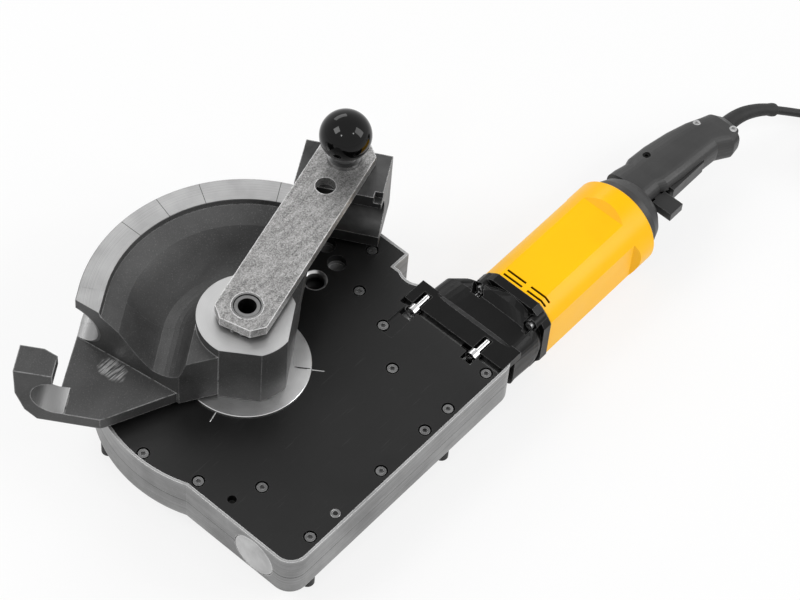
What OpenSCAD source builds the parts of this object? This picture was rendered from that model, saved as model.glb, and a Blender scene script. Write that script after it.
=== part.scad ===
// Electric pipe bender on a bench case: an in-line motor drives a worm gear, and the worm wheel's
// hollow spindle turns the bending former against a swivelling back former.
// Millimetres, +Z up. The origin is on the spindle axis, level with the top of the black plate.
// +X points along the motor, away from the case.

/* [Case] */
// Height of the case, both halves together
case_h = 46; // [42:1:54]
// Radius of the round part of the case, over the worm wheel
case_arc_r = 130; // [127:1:136]
// Distance from the spindle axis to the case's left side
case_left = 121; // [116:1:124]
// Distance from the spindle axis to the case's near side
case_near = 163.6; // [158:0.2:172]
// Distance from the spindle axis to the case's motor end
case_right = 161; // [158:1:166]
// Radius of the case's near corners
case_corner_r = 17; // [12:1:20]
// Thickness of the case's floor
case_floor_t = 4; // [3:0.5:5]
// Distance from the back former's pin to the straight edge of the ear under it
ear_side = 10.6; // [8:0.2:14]
// Radius of the ear's round lobe about the back former's pin
ear_lobe_r = 30; // [26:1:34]
// Radius of the hand recess beside the ear
recess_r = 17; // [14:1:19]

/* [Feet] */
// Height of a foot below the case
foot_h = 27; // [24:1:34]
// Radius of a foot
foot_r = 6; // [5:0.5:9]
// Head radius of a foot's screw
foot_screw_head_r = 3.4; // [3:0.1:3.8]

/* [Top plate] */
// Thickness of the black plate
plate_t = 8; // [7:0.5:9]
// Bare edge of the case that shows round the plate
rim_w = 2.3; // [2:0.1:3.5]
// Distance from the spindle axis to the plate's motor end
plate_right = 137; // [134:1:138]
// Radius of the circle that the plate's round row of screws lies on
plate_screw_circle_r = 122.7; // [121:0.1:123]
// Head radius of a plate screw
plate_screw_head_r = 4.3; // [3.8:0.1:4.6]
// Head height of a plate screw
plate_screw_head_h = 4.6; // [4:0.1:5]
// Thread radius of a plate screw
plate_screw_r = 2.5; // [2:0.1:2.9]
// Thread length of a plate screw below the plate
plate_screw_grip = 9; // [6:1:11]
// Bore radius of the sockets that take a back former's pin
pin_socket_r = 8.5; // [8:0.1:9]
// Depth of a pin socket
pin_socket_depth = 12; // [10:0.5:12.5]

/* [Worm drive] */
// Depth of the worm and motor axis below the top of the plate
axis_depth = 24.5; // [24:0.5:26]
// Module of the worm and its wheel
worm_module = 4; // [4:1:4]
// Teeth of the worm wheel
wheel_teeth = 55; // [55:1:55]
// Pitch radius of the worm
worm_pitch_r = 12; // [11.5:0.5:12.5]
// Face width of the worm wheel
wheel_w = 20; // [16:1:21]
// Radius of the worm shaft's bearing journals
worm_journal_r = 8; // [7:0.5:8.5]
// Outer radius of the worm shaft's bearings
worm_bearing_r = 16; // [15:0.5:16]
// Width of the worm shaft's bearings
worm_bearing_w = 11; // [9:1:12]
// Radius of the round plug over the worm's end
plug_r = 20.6; // [19:0.1:21]
// Thickness of the round plug
plug_t = 7; // [5:0.5:8]
// Thickness of the plug's flange
plug_flange_t = 1.9; // [1.5:0.1:2]

/* [Spindle] */
// Radius of the hole through the spindle
spindle_bore_r = 7.8; // [6:0.2:8.5]
// Radius of the spindle's upper journal
spindle_journal_r = 24; // [23:0.5:26]
// Radius of the spindle's lower journal
spindle_foot_r = 16; // [14:0.5:18]
// Width across the spindle's square
spindle_square = 32; // [30:0.5:33]
// Radius of the spindle's nose
spindle_nose_r = 11.6; // [11:0.1:12.2]
// Radius of the drive disc
disc_r = 55.2; // [50:0.2:58]
// Height of the drive disc above the plate
disc_top = 1.7; // [1:0.1:2.5]

/* [Former] */
// Bend radius, from the axis to the middle of the groove
bend_r = 140; // [136:1:144]
// Radius of the groove
groove_r = 20; // [18:0.5:21]
// Height of the groove's middle above the plate
groove_z = 39; // [37:1:41]
// Height of the rim above the plate
rim_top = 71; // [68:0.5:72]
// Radial width of the machined rim
rim_face_w = 22; // [18:1:24]
// Height of the hub above the plate
hub_top = 68; // [66:0.5:70]
// Radius of the hub
hub_r = 41.8; // [40:0.2:44]
// Height of the arm plate above the plate
arm_top = 18.6; // [16:0.1:19]
// Distance that the clamping end runs on past the bend
grip_len = 91; // [84:1:96]
// Width of the hook along the groove
hook_w = 26; // [22:1:30]
// Wall of the hook outside the groove
hook_wall = 13.5; // [11:0.5:16]

/* [Back former] */
// Direction of the support lever from the motor's direction, in degrees
lever_angle = 15.2; // [12:0.1:17]
// Distance from the middle of the groove to the lock pin, square to the back former
pin_behind = 30; // [28:0.5:31]
// Radius of the lock pin
lock_pin_r = 10; // [9:0.1:10.4]
// Angle that the back former is turned to from the lever, in degrees
back_turn = 14.4; // [10:0.1:16]
// Length of the back former
back_len = 75.7; // [66:0.1:80]
// Thickness of the back former behind its pin
back_behind = 20; // [18:0.5:22]
// Height of the back former's underside above the plate
back_bottom = 6; // [4:0.5:8]

/* [Support lever] */
// Width of the lever
lever_w = 48; // [44:1:50]
// Thickness of the lever
lever_t = 9.5; // [8:0.5:12]
// Length of the lever past the spindle axis
lever_back = 21.5; // [20:0.5:26]
// Length of the lever past the lock pin
lever_front = 23; // [20:0.5:26]
// Corner cut of the lever's ends
lever_chamfer = 10; // [6:0.5:12]
// Radius of the lever's spare hole
spare_hole_r = 8.8; // [7:0.2:10]
// Distance from the spindle axis to the spare hole
spare_hole_reach = 140.6; // [132:0.2:144]
// Radius of the ball knob
knob_r = 22.5; // [20:0.5:25]
// Height of the ball's middle above the lever
knob_lift = 29.5; // [27:0.5:33]

/* [Motor] */
// Radius of the yellow motor housing
motor_r = 38; // [37:0.5:39]
// Radius of the band at the housing's rear end
motor_band_r = 43; // [41:0.5:44]
// Start of the yellow housing
motor_start = 209; // [207:1:214]
// End of the yellow housing
motor_end = 350; // [346:1:354]
// Start of the rear band
band_start = 324; // [318:1:330]
// Wall of the motor housing
motor_wall = 3; // [2:0.5:4]
// Radius of the armature's laminated core
core_r = 21; // [18:0.5:22]
// Distance between the layshaft and the motor axis
layshaft_gap = 27; // [27:1:27]
// Teeth of both pinions
pinion_teeth = 10; // [10:1:10]
// Teeth of both spur gears
gear_teeth = 44; // [44:1:44]
// Module of the spur gears
gear_module = 1; // [1:1:1]

/* [Handle] */
// End of the handle
handle_end = 501; // [496:1:510]
// Start of the handle's neck
neck_start = 378; // [376:1:380]
// Height of the handle, both shells together
handle_h = 34; // [30:1:38]
// Wall of the handle shells
handle_wall = 2.6; // [2:0.2:3.2]
// Length of the trigger
trigger_len = 44; // [38:1:46]
// Travel of the trigger
trigger_travel = 3; // [2:0.5:3.5]
// Width of the direction lever along the handle
switch_lever_w = 17; // [15:0.5:17.5]

/* [Cord] */
// Diameter of the cord
cord_d = 8; // [7:0.5:8.5]
// Inner radius of the cord's coil
coil_inner_r = 37; // [35:0.5:40]
// Radius of the plug's body
plug_body_r = 18; // [16:0.5:20]
// Length of the plug's body
plug_body_len = 46; // [40:1:54]

/* [Hidden] */

// Overrun of a cut, so that no skin is left
cut = 1;
// Clearance of pieces that are fitted but don't bear on each other
fit_gap = 0.2;
// Radial clearance of a shaft in its bearing
run_gap = 0.05;
// Gap between a moving piece and what it rests on
rest_gap = 0.3;
round_fn = 96;
small_fn = 48;

cast_grey = [0.62, 0.63, 0.64];
plate_black = [0.10, 0.10, 0.11];
steel = [0.74, 0.75, 0.76];
dark_steel = [0.32, 0.32, 0.33];
cast_iron = [0.22, 0.22, 0.23];
bronze = [0.72, 0.52, 0.27];
yellow = [0.98, 0.72, 0.06];
black_plastic = [0.13, 0.13, 0.14];
rubber = [0.08, 0.08, 0.09];
copper = [0.75, 0.42, 0.24];

seam_z = -axis_depth;
floor_z = -case_h - foot_h;
motor_y = -(wheel_teeth * worm_module / 2 + worm_pitch_r);
wheel_pitch_r = wheel_teeth * worm_module / 2;

// Places of the pieces along the motor's axis, each from the piece before it
adapter_face = case_right + rest_gap;
adapter_neck = adapter_face + 29;
ring_start = motor_start - 9;
layshaft_y = motor_y + layshaft_gap;

module at_axis(x) {
    translate([x, motor_y, -axis_depth])
        rotate([0, 90, 0])
            children();
}

module at_layshaft(x) {
    translate([x, layshaft_y, -axis_depth])
        rotate([0, 90, 0])
            children();
}

module tube_of(outer, inner, length) {
    difference() {
        cylinder(r = outer, h = length, $fn = round_fn);
        translate([0, 0, -cut])
            cylinder(r = inner, h = length + 2 * cut, $fn = round_fn);
    }
}

// A socket-head screw whose head stands on z = 0 and whose thread points down
module socket_screw(head_r, head_h, thread_r, grip) {
    socket_share = 0.55;
    socket_depth_share = 0.6;
    difference() {
        cylinder(r = head_r, h = head_h, $fn = small_fn);
        translate([0, 0, head_h * (1 - socket_depth_share)])
            cylinder(r = head_r * socket_share, h = head_h, $fn = 6);
    }
    translate([0, 0, -grip])
        cylinder(r = thread_r, h = grip + cut / 2, $fn = small_fn);
}

// A ball bearing whose axis is z, from z = 0 up
module ball_bearing(outer, inner, width) {
    ring_share = 0.32;
    ball_share = 0.30;
    balls = 9;
    race = (outer + inner) / 2;
    ring_t = (outer - inner) * ring_share;
    ball_r = (outer - inner) * ball_share;
    module groove() {
        rotate_extrude($fn = round_fn)
            translate([race, width / 2])
                circle(r = ball_r + run_gap, $fn = small_fn);
    }
    difference() {
        tube_of(outer, outer - ring_t, width);
        groove();
    }
    difference() {
        tube_of(inner + ring_t, inner, width);
        groove();
    }
    for (i = [0:balls - 1])
        rotate([0, 0, 360 * i / balls])
            translate([race, 0, width / 2])
                sphere(r = ball_r, $fn = small_fn);
}

// A closed skin through rings that all have as many points, first ring first
module loft(rings) {
    n = len(rings[0]);
    m = len(rings);
    points = [for (ring = rings) for (p = ring) p];
    sides = [for (j = [0:m - 2]) for (i = [0:n - 1])
        let (a = j * n + i, b = j * n + (i + 1) % n, c = a + n, d = b + n)
        each [[a, c, b], [b, c, d]]];
    first = [for (i = [1:n - 2]) [0, i, i + 1]];
    last = [for (i = [1:n - 2]) [(m - 1) * n, (m - 1) * n + i + 1, (m - 1) * n + i]];
    polyhedron(points = points, faces = concat(first, sides, last), convexity = 6);
}

// One ring of a skin across x: round where power is 2, squarer where it is more
function cross_ring(x, y_low, y_high, z_low, z_high, power, n) =
    [for (i = [0:n - 1])
        let (a = 360 * i / n, c = cos(a), s = sin(a))
        [x,
         (y_low + y_high) / 2 + (y_high - y_low) / 2 * sign(c) * pow(abs(c), 2 / power),
         (z_low + z_high) / 2 + (z_high - z_low) / 2 * sign(s) * pow(abs(s), 2 / power)]];

// Outline of the case

pin_reach = (bend_r + pin_behind) / cos(back_turn);
pin_at = pin_reach * [cos(lever_angle), sin(lever_angle)];
// Middle of the hand recess beside the ear, from the case's motor end and from the spindle axis
recess_out = 14;
recess_y = -41;
recess_at = [case_right + recess_out, recess_y];

// Plan of the case, drawn in by inset from its edge
module case_plan(inset) {
    corner = case_corner_r - inset;
    lobe = ear_lobe_r - inset;
    ear_near = recess_at[1] + recess_r;
    difference() {
        union() {
            circle(r = case_arc_r - inset, $fn = round_fn);
            translate([-case_left + inset, -case_near + inset + corner])
                square([case_left + case_right - 2 * inset, case_near - inset - corner]);
            translate([-case_left + inset + corner, -case_near + inset])
                square([case_left + case_right - 2 * (inset + corner), case_near]);
            for (x = [-case_left + case_corner_r, case_right - case_corner_r])
                translate([x, -case_near + case_corner_r])
                    circle(r = corner, $fn = round_fn);
            translate([0, ear_near + inset])
                square([pin_at[0] + ear_side - inset, pin_at[1] - ear_near - inset]);
            translate([0, pin_at[1] - cut])
                square([pin_at[0], lobe + cut]);
            translate(pin_at)
                circle(r = lobe, $fn = round_fn);
        }
        translate(recess_at)
            circle(r = recess_r + inset, $fn = round_fn);
        translate([recess_at[0], recess_at[1] - recess_r - inset])
            square([recess_r + case_right, recess_r + inset]);
    }
}

// Case and feet

wheel_room = 4;
cavity_r = wheel_pitch_r + worm_module + wheel_room / 2;
worm_room = 2.2;
worm_tip_r = worm_pitch_r + worm_module * 0.8;
plug_room = 2;
plug_spigot_r = worm_bearing_r - 1;
bearing_left = -case_left + plug_t + plug_room;
// Wall of the case between the right bearing and the motor adapter
end_wall = 7;
bearing_right = case_right - worm_bearing_w - end_wall;
bush_wall = 4;
case_bolts = [[-104, -97], [-60, -150], [20, -150], [112, -150], [147, -97],
              [-122.7, 14], [-60, 107], [60, 107], [146, 66]];
// The wheel's hub stands proud of its teeth by this much
hub_proud = 1;
foot_bush_low = -case_h + case_floor_t / 2;
foot_bush_high = -axis_depth - wheel_w / 2 - hub_proud - rest_gap;
boss_wall = 5;
case_bolt_r = 3;
case_bolt_head_r = 5;
case_bolt_head_h = 5;
foot_places = [[-87, -152], [82, -152], [-108, 56], [150, 56]];
foot_screw_r = 2;

module worm_space() {
    // the worm's own channel
    at_axis(bearing_left)
        cylinder(r = worm_tip_r + worm_room, h = bearing_right - bearing_left, $fn = round_fn);
    // seats of both bearings
    for (x = [bearing_left, bearing_right])
        at_axis(x)
            cylinder(r = worm_bearing_r, h = worm_bearing_w, $fn = round_fn);
    // way out for the shaft at the motor end
    at_axis(bearing_right)
        cylinder(r = worm_journal_r + 4, h = case_right, $fn = small_fn);
    // seat of the plug, a wide one for its flange and a narrow one behind
    at_axis(-case_left - cut)
        cylinder(r = plug_r + fit_gap, h = plug_flange_t + cut, $fn = round_fn);
    at_axis(-case_left)
        cylinder(r = plug_spigot_r + fit_gap, h = plug_t + plug_room, $fn = round_fn);
}

module case_lower() {
    color(cast_grey)
        difference() {
            translate([0, 0, -case_h])
                linear_extrude(case_h + seam_z)
                    case_plan(0);
            translate([0, 0, -case_h + case_floor_t])
                cylinder(r = cavity_r, h = case_h, $fn = round_fn);
            worm_space();
            // pocket of the lower bush
            translate([0, 0, foot_bush_low])
                cylinder(r = spindle_foot_r + bush_wall, h = case_floor_t, $fn = round_fn);
            for (p = case_bolts)
                translate([p[0], p[1], -case_h - cut]) {
                    cylinder(r = case_bolt_r + fit_gap, h = case_h, $fn = small_fn);
                    cylinder(r = case_bolt_head_r + fit_gap, h = case_bolt_head_h + cut, $fn = small_fn);
                }
            for (p = foot_places)
                translate([p[0], p[1], -case_h - cut])
                    cylinder(r = foot_screw_r, h = foot_screw_grip() + cut, $fn = small_fn);
            pin_room();
        }
    color(cast_grey)
        difference() {
            // boss that carries the lower bush
            translate([0, 0, -case_h + case_floor_t / 2])
                cylinder(r = spindle_foot_r + bush_wall + boss_wall,
                         h = foot_bush_high - rest_gap + case_h - case_floor_t / 2, $fn = round_fn);
            translate([0, 0, -case_h])
                cylinder(r = spindle_foot_r + bush_wall, h = case_h, $fn = round_fn);
        }
}

function foot_screw_grip() = 10;

module case_upper() {
    tongue_near = -case_near + rim_w;
    color(cast_grey)
        difference() {
            translate([0, 0, seam_z])
                linear_extrude(-seam_z)
                    case_plan(0);
            // seat of the plate and of the adapter's tongue
            translate([0, 0, -plate_t])
                linear_extrude(plate_t + cut)
                    case_plan(rim_w);
            translate([plate_right, tongue_near, -plate_t])
                cube([case_right, tongue_far - tongue_near + fit_gap, plate_t + cut]);
            translate([0, 0, seam_z - cut])
                cylinder(r = cavity_r, h = case_h, $fn = round_fn);
            worm_space();
            for (p = plate_screw_places)
                translate([p[0], p[1], -plate_t - plate_screw_grip - cut])
                    cylinder(r = plate_screw_r, h = case_h, $fn = small_fn);
            for (p = case_bolts)
                translate([p[0], p[1], seam_z - cut])
                    cylinder(r = case_bolt_r, h = case_bolt_grip + cut, $fn = small_fn);
            pin_room();
            adapter_pockets(tongue_left + cut);
            for (p = far_sockets)
                translate([p[0], p[1], -pin_socket_depth])
                    cylinder(r = pin_socket_r, h = case_h, $fn = round_fn);
            translate([oil_hole[0], oil_hole[1], -plate_t - plate_screw_grip])
                cylinder(r = oil_hole_r, h = case_h, $fn = small_fn);
        }
}

case_bolt_grip = 9;

module case_screws() {
    color(steel)
        for (p = case_bolts)
            translate([p[0], p[1], -case_h + case_bolt_head_h])
                rotate([180, 0, 0])
                    socket_screw(case_bolt_head_r, case_bolt_head_h, case_bolt_r,
                                 case_h + seam_z - case_bolt_head_h + case_bolt_grip);
}

module feet() {
    bevel = 0.6;
    color(rubber)
        for (p = foot_places)
            translate([p[0], p[1], floor_z])
                difference() {
                    rotate_extrude($fn = small_fn)
                        polygon([[0, 0], [foot_r - bevel, 0], [foot_r, bevel], [foot_r, foot_h],
                                 [0, foot_h]]);
                    translate([0, 0, -cut])
                        cylinder(r = foot_screw_r + fit_gap, h = foot_h + 2 * cut, $fn = small_fn);
                    translate([0, 0, -cut])
                        cylinder(r = foot_screw_head_r + fit_gap, h = foot_h / 2 + cut, $fn = small_fn);
                }
}

module foot_screws() {
    head_h = 4;
    color(steel)
        for (p = foot_places)
            translate([p[0], p[1], floor_z + foot_h / 2])
                rotate([180, 0, 0])
                    socket_screw(foot_screw_head_r, head_h, foot_screw_r,
                                 foot_h / 2 + foot_screw_grip());
}

// Top plate

tongue_far = -51.5;
disc_seat_depth = 3;
plate_gap = 0.3;
// Angles on the round row, in degrees
round_row_angles = [180.2, 204.8, 229.2, 311, 331.9, 351];
// Places along the near side, from the spindle axis
near_row_x = [-88.2, -2.1, 52.5, 81.9, 130.9];
near_row_y = -case_near + 10.6;
plate_screw_places = concat(
    [for (a = round_row_angles) plate_screw_circle_r * [cos(a), sin(a)]],
    [for (x = near_row_x) [x, near_row_y]],
    [[case_right, 1.6]]);
near_socket = [103.3, 15.7];
far_sockets = [[129.7, 14.1], [138, 34]];
oil_hole = [-105.6, -83.4];
oil_hole_r = 4;
socket_wall = 2.5;
pin_bush_wall = 3;
pin_depth = case_h - case_floor_t - 4;
adapter_screw_y = [-132, -64.5];
adapter_screw_head_r = 5.5;
adapter_screw_r = 3;
adapter_screw_drop = 4;
mark_w = 1;
mark_depth = 0.5;
// Directions of the two marks on the plate, in degrees
plate_marks = [-55, -163.5];

// Pockets for the heads of the two screws that hold the adapter
module adapter_pockets(end) {
    for (y = adapter_screw_y)
        translate([plate_right - adapter_pocket_len, y, -adapter_screw_drop])
            rotate([0, 90, 0])
                cylinder(r = adapter_screw_head_r + adapter_pocket_room,
                         h = end - plate_right + adapter_pocket_len, $fn = small_fn);
}

// Room for the lock pin's bush, through plate and case
module pin_room() {
    translate([pin_at[0], pin_at[1], -pin_depth])
        cylinder(r = lock_pin_r + pin_bush_wall, h = case_h + cut, $fn = round_fn);
}

module mark(from, to, top) {
    translate([from, -mark_w / 2, top - mark_depth])
        cube([to - from, mark_w, mark_depth + cut]);
}

module top_plate() {
    boss_r = spindle_journal_r + bush_wall + boss_wall;
    color(plate_black)
        difference() {
            union() {
                translate([0, 0, -plate_t])
                    linear_extrude(plate_t)
                        case_plan(rim_w + plate_gap);
                translate([0, 0, -plate_t - boss_drop])
                    cylinder(r = boss_r, h = boss_drop + cut, $fn = round_fn);
            }
            // end of the plate, where the adapter's tongue begins
            translate([plate_right, -case_near, -plate_t - cut])
                cube([case_right, case_near + tongue_far + plate_gap, plate_t + 2 * cut]);
            // seat of the drive disc, and bore of the upper bush
            translate([0, 0, -disc_seat_depth])
                cylinder(r = disc_r + plate_gap, h = plate_t, $fn = round_fn);
            translate([0, 0, -case_h])
                cylinder(r = spindle_journal_r + bush_wall, h = case_h + cut, $fn = round_fn);
            for (p = plate_screw_places)
                translate([p[0], p[1], -plate_t - cut]) {
                    cylinder(r = plate_screw_r + fit_gap, h = plate_t + 2 * cut, $fn = small_fn);
                    translate([0, 0, plate_t + cut - plate_screw_head_h])
                        cylinder(r = plate_screw_head_r + 1.5, h = plate_t, $fn = small_fn);
                }
            translate([near_socket[0], near_socket[1], -pin_socket_depth])
                cylinder(r = pin_socket_r + socket_wall, h = case_h, $fn = round_fn);
            for (p = far_sockets)
                translate([p[0], p[1], -pin_socket_depth])
                    cylinder(r = pin_socket_r, h = case_h, $fn = round_fn);
            pin_room();
            translate([oil_hole[0], oil_hole[1], -plate_t - cut])
                cylinder(r = oil_hole_r, h = plate_t + 2 * cut, $fn = small_fn);
            // groove of the seal under the drive disc
            translate([0, 0, -disc_seat_depth - seal_groove])
                tube_of(seal_r + seal_w, seal_r, disc_seat_depth + plate_t);
            adapter_pockets(case_right);
            // shallow way for the key of the far screw
            translate([plate_right - key_way_len, adapter_screw_y[1] - key_way_w / 2, -key_way_depth])
                cube([key_way_len + cut, key_way_w, plate_t]);
            for (a = plate_marks)
                rotate([0, 0, a])
                    mark(disc_r + plate_gap, disc_r + 9, 0);
        }
}

adapter_pocket_len = 9;
adapter_pocket_room = 1.5;
key_way_depth = 1.5;
key_way_len = 34;
key_way_w = 14;
boss_drop = 4.5;
seal_r = 40;
seal_w = 4;
seal_groove = 1.5;

module plate_screws() {
    color(steel)
        for (p = plate_screw_places)
            translate([p[0], p[1], -plate_screw_head_h])
                socket_screw(plate_screw_head_r, plate_screw_head_h - 0.6, plate_screw_r,
                             plate_t - plate_screw_head_h + plate_screw_grip);
}

module bore_plug() {
    groove = 1.2;
    color(cast_grey)
        at_axis(-case_left)
            rotate_extrude($fn = round_fn)
                polygon([[0, 0], [plug_r - groove / 2, 0], [plug_r, groove / 2], [plug_r, plug_flange_t],
                         [plug_spigot_r, plug_flange_t], [plug_spigot_r, plug_t / 2],
                         [plug_spigot_r - groove, plug_t / 2], [plug_spigot_r - groove, plug_t / 2 + groove],
                         [plug_spigot_r, plug_t / 2 + groove], [plug_spigot_r, plug_t], [0, plug_t]]);
}

socket_floor_t = 1;

module pin_bushes() {
    color(steel) {
        translate([near_socket[0], near_socket[1], -pin_socket_depth])
            difference() {
                cylinder(r = pin_socket_r + socket_wall, h = pin_socket_depth, $fn = round_fn);
                translate([0, 0, socket_floor_t])
                    cylinder(r = pin_socket_r, h = pin_socket_depth, $fn = round_fn);
                // lead-in at the mouth
                translate([0, 0, pin_socket_depth - 2])
                    cylinder(r1 = pin_socket_r, r2 = pin_socket_r + 2, h = 2 + fit_gap, $fn = round_fn);
            }
        translate([pin_at[0], pin_at[1], -pin_depth])
            tube_of(lock_pin_r + pin_bush_wall, lock_pin_r + run_gap, pin_depth);
    }
}

// Spindle and worm wheel

hub_boss_r = 34;
hub_low = -axis_depth - wheel_w / 2 - hub_proud;
hub_high = -axis_depth + wheel_w / 2 + hub_proud;
seat_r = 22;
key_w = 8;
key_h = 7;
rim_in_r = wheel_pitch_r - 18;
wheel_root_r = wheel_pitch_r - worm_module * 1.05;
wheel_tip_r = wheel_pitch_r + worm_module * 0.8;
shoulder_z = hub_top + 4.2;
lever_z = shoulder_z + rest_gap;
nose_top = lever_z + lever_t - 0.7;
square_low = disc_top;

module spindle_bushes() {
    flange = 3;
    color(bronze) {
        translate([0, 0, -plate_t - boss_drop])
            tube_of(spindle_journal_r + bush_wall, spindle_journal_r + run_gap,
                    plate_t + boss_drop - disc_seat_depth);
        translate([0, 0, foot_bush_low])
            tube_of(spindle_foot_r + bush_wall, spindle_foot_r + run_gap, foot_bush_high - foot_bush_low);
        // thrust washer under the spindle
        translate([0, 0, foot_bush_low])
            tube_of(spindle_foot_r - flange / 2, spindle_bore_r + flange, case_floor_t / 2 - rest_gap);
    }
}

module spindle_seal() {
    color(rubber)
        translate([0, 0, -disc_seat_depth - seal_groove])
            tube_of(seal_r + seal_w, seal_r, seal_groove + rest_gap - run_gap);
}

module spindle() {
    foot_z = -case_h + case_floor_t;
    color(steel)
        difference() {
            union() {
                rotate_extrude($fn = round_fn)
                    polygon([[0, foot_z], [spindle_foot_r - 1, foot_z], [spindle_foot_r, foot_z + 1],
                             [spindle_foot_r, hub_low], [seat_r, hub_low], [seat_r, hub_high],
                             [spindle_journal_r, hub_high], [spindle_journal_r, disc_top],
                             [0, disc_top]]);
                translate([-spindle_square / 2, -spindle_square / 2, square_low - cut])
                    cube([spindle_square, spindle_square, hub_top - square_low]);
                translate([0, 0, hub_top - 2 * cut])
                    cylinder(r = spindle_square / 2, h = shoulder_z - hub_top + 2 * cut, $fn = round_fn);
                translate([0, 0, shoulder_z - cut])
                    rotate_extrude($fn = round_fn)
                        polygon([[0, 0], [spindle_nose_r, 0],
                                 [spindle_nose_r, nose_top - shoulder_z + cut - 0.8],
                                 [spindle_nose_r - 0.8, nose_top - shoulder_z + cut],
                                 [0, nose_top - shoulder_z + cut]]);
            }
            translate([0, 0, -case_h])
                cylinder(r = spindle_bore_r, h = case_h + nose_top + cut, $fn = round_fn);
            // keyway
            translate([seat_r - key_h / 2, -key_w / 2, hub_low - cut])
                cube([key_h, key_w, hub_high - hub_low + cut]);
            // groove of the retaining ring, under the lever
            translate([0, 0, shoulder_z - 2.4])
                tube_of(spindle_square, spindle_square / 2 - 1.5, 1.8);
        }
}

module wheel_key() {
    color(dark_steel)
        translate([seat_r - key_h / 2, -key_w / 2, hub_low])
            cube([key_h, key_w, hub_high - hub_low - fit_gap]);
}

module retaining_ring() {
    ear_r = 2.6;
    color(dark_steel)
        translate([0, 0, shoulder_z - 2.3])
            difference() {
                union() {
                    tube_of(spindle_square / 2 + 3.2, spindle_square / 2 - 1.4, 1.6);
                    for (a = [-12, 12])
                        rotate([0, 0, 200 + a])
                            translate([spindle_square / 2 + 3.4, 0, 0])
                                cylinder(r = ear_r, h = 1.6, $fn = small_fn);
                }
                rotate([0, 0, 200])
                    translate([0, -1.6, -cut])
                        cube([spindle_square, 3.2, 4]);
            }
}

module worm_wheel_hub() {
    web_t = 9;
    holes = 6;
    hole_r = 14;
    color(cast_iron)
        difference() {
            union() {
                translate([0, 0, hub_low])
                    cylinder(r = hub_boss_r, h = hub_high - hub_low, $fn = round_fn);
                translate([0, 0, -axis_depth - web_t / 2])
                    cylinder(r = rim_in_r, h = web_t, $fn = round_fn);
                translate([0, 0, -axis_depth - wheel_w / 2])
                    tube_of(rim_in_r, rim_in_r - 9, wheel_w);
            }
            translate([0, 0, hub_low - cut])
                cylinder(r = seat_r, h = case_h, $fn = round_fn);
            translate([seat_r - key_h / 2, -key_w / 2, hub_low - cut])
                cube([key_h, key_w, case_h]);
            for (i = [0:holes - 1])
                rotate([0, 0, (i + 0.5) * 360 / holes])
                    translate([(hub_boss_r + rim_in_r - 9) / 2, 0, -case_h])
                        cylinder(r = hole_r, h = case_h, $fn = small_fn);
        }
}

// Half widths of a worm tooth at its root and tip, as shares of the axial pitch
root_share = 0.22;
tip_share = 0.10;
worm_pitch = PI * worm_module;

module worm_wheel_rim() {
    color(bronze)
        translate([0, 0, -axis_depth - wheel_w / 2])
            linear_extrude(wheel_w)
                difference() {
                    union() {
                        circle(r = wheel_root_r, $fn = 2 * round_fn);
                        for (i = [0:wheel_teeth - 1])
                            rotate([0, 0, -90 + (i + 0.5) * 360 / wheel_teeth])
                                polygon([[wheel_root_r - cut, -worm_pitch * root_share],
                                         [wheel_root_r, -worm_pitch * root_share],
                                         [wheel_tip_r, -worm_pitch * tip_share],
                                         [wheel_tip_r, worm_pitch * tip_share],
                                         [wheel_root_r, worm_pitch * root_share],
                                         [wheel_root_r - cut, worm_pitch * root_share]]);
                    }
                    circle(r = rim_in_r, $fn = round_fn);
                }
}

// Drive disc and former

module drive_disc() {
    color(steel)
        difference() {
            translate([0, 0, -disc_seat_depth + rest_gap])
                rotate_extrude($fn = 2 * round_fn)
                    polygon([[spindle_journal_r, 0], [disc_r, 0],
                             [disc_r, disc_top + disc_seat_depth - rest_gap - 0.4],
                             [disc_r - 0.4, disc_top + disc_seat_depth - rest_gap],
                             [spindle_journal_r, disc_top + disc_seat_depth - rest_gap]]);
            // mark that stands against the plate's marks
            rotate([0, 0, plate_marks[0]])
                mark(disc_r - 12, disc_r - 1, disc_top);
        }
}

former_bottom = 5;
bend_end = 122.5;
rim_in = bend_r - rim_face_w;
// Distance and direction of the flat that ends the former at its start
start_flat = 37.2;
start_flat_angle = -56.9;
// Chord that flattens the hub beside the clamping end
hub_flat = 37.9;
hub_flat_angle = -145;
web_low = 31;
bowl_ease = 0.2;
web_steps = 12;
// Radius of the fillet between the web and the hub
hub_fillet_r = 28;
// The straight run past the bend is drawn in by this much
run_inset = 0.1;

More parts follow.
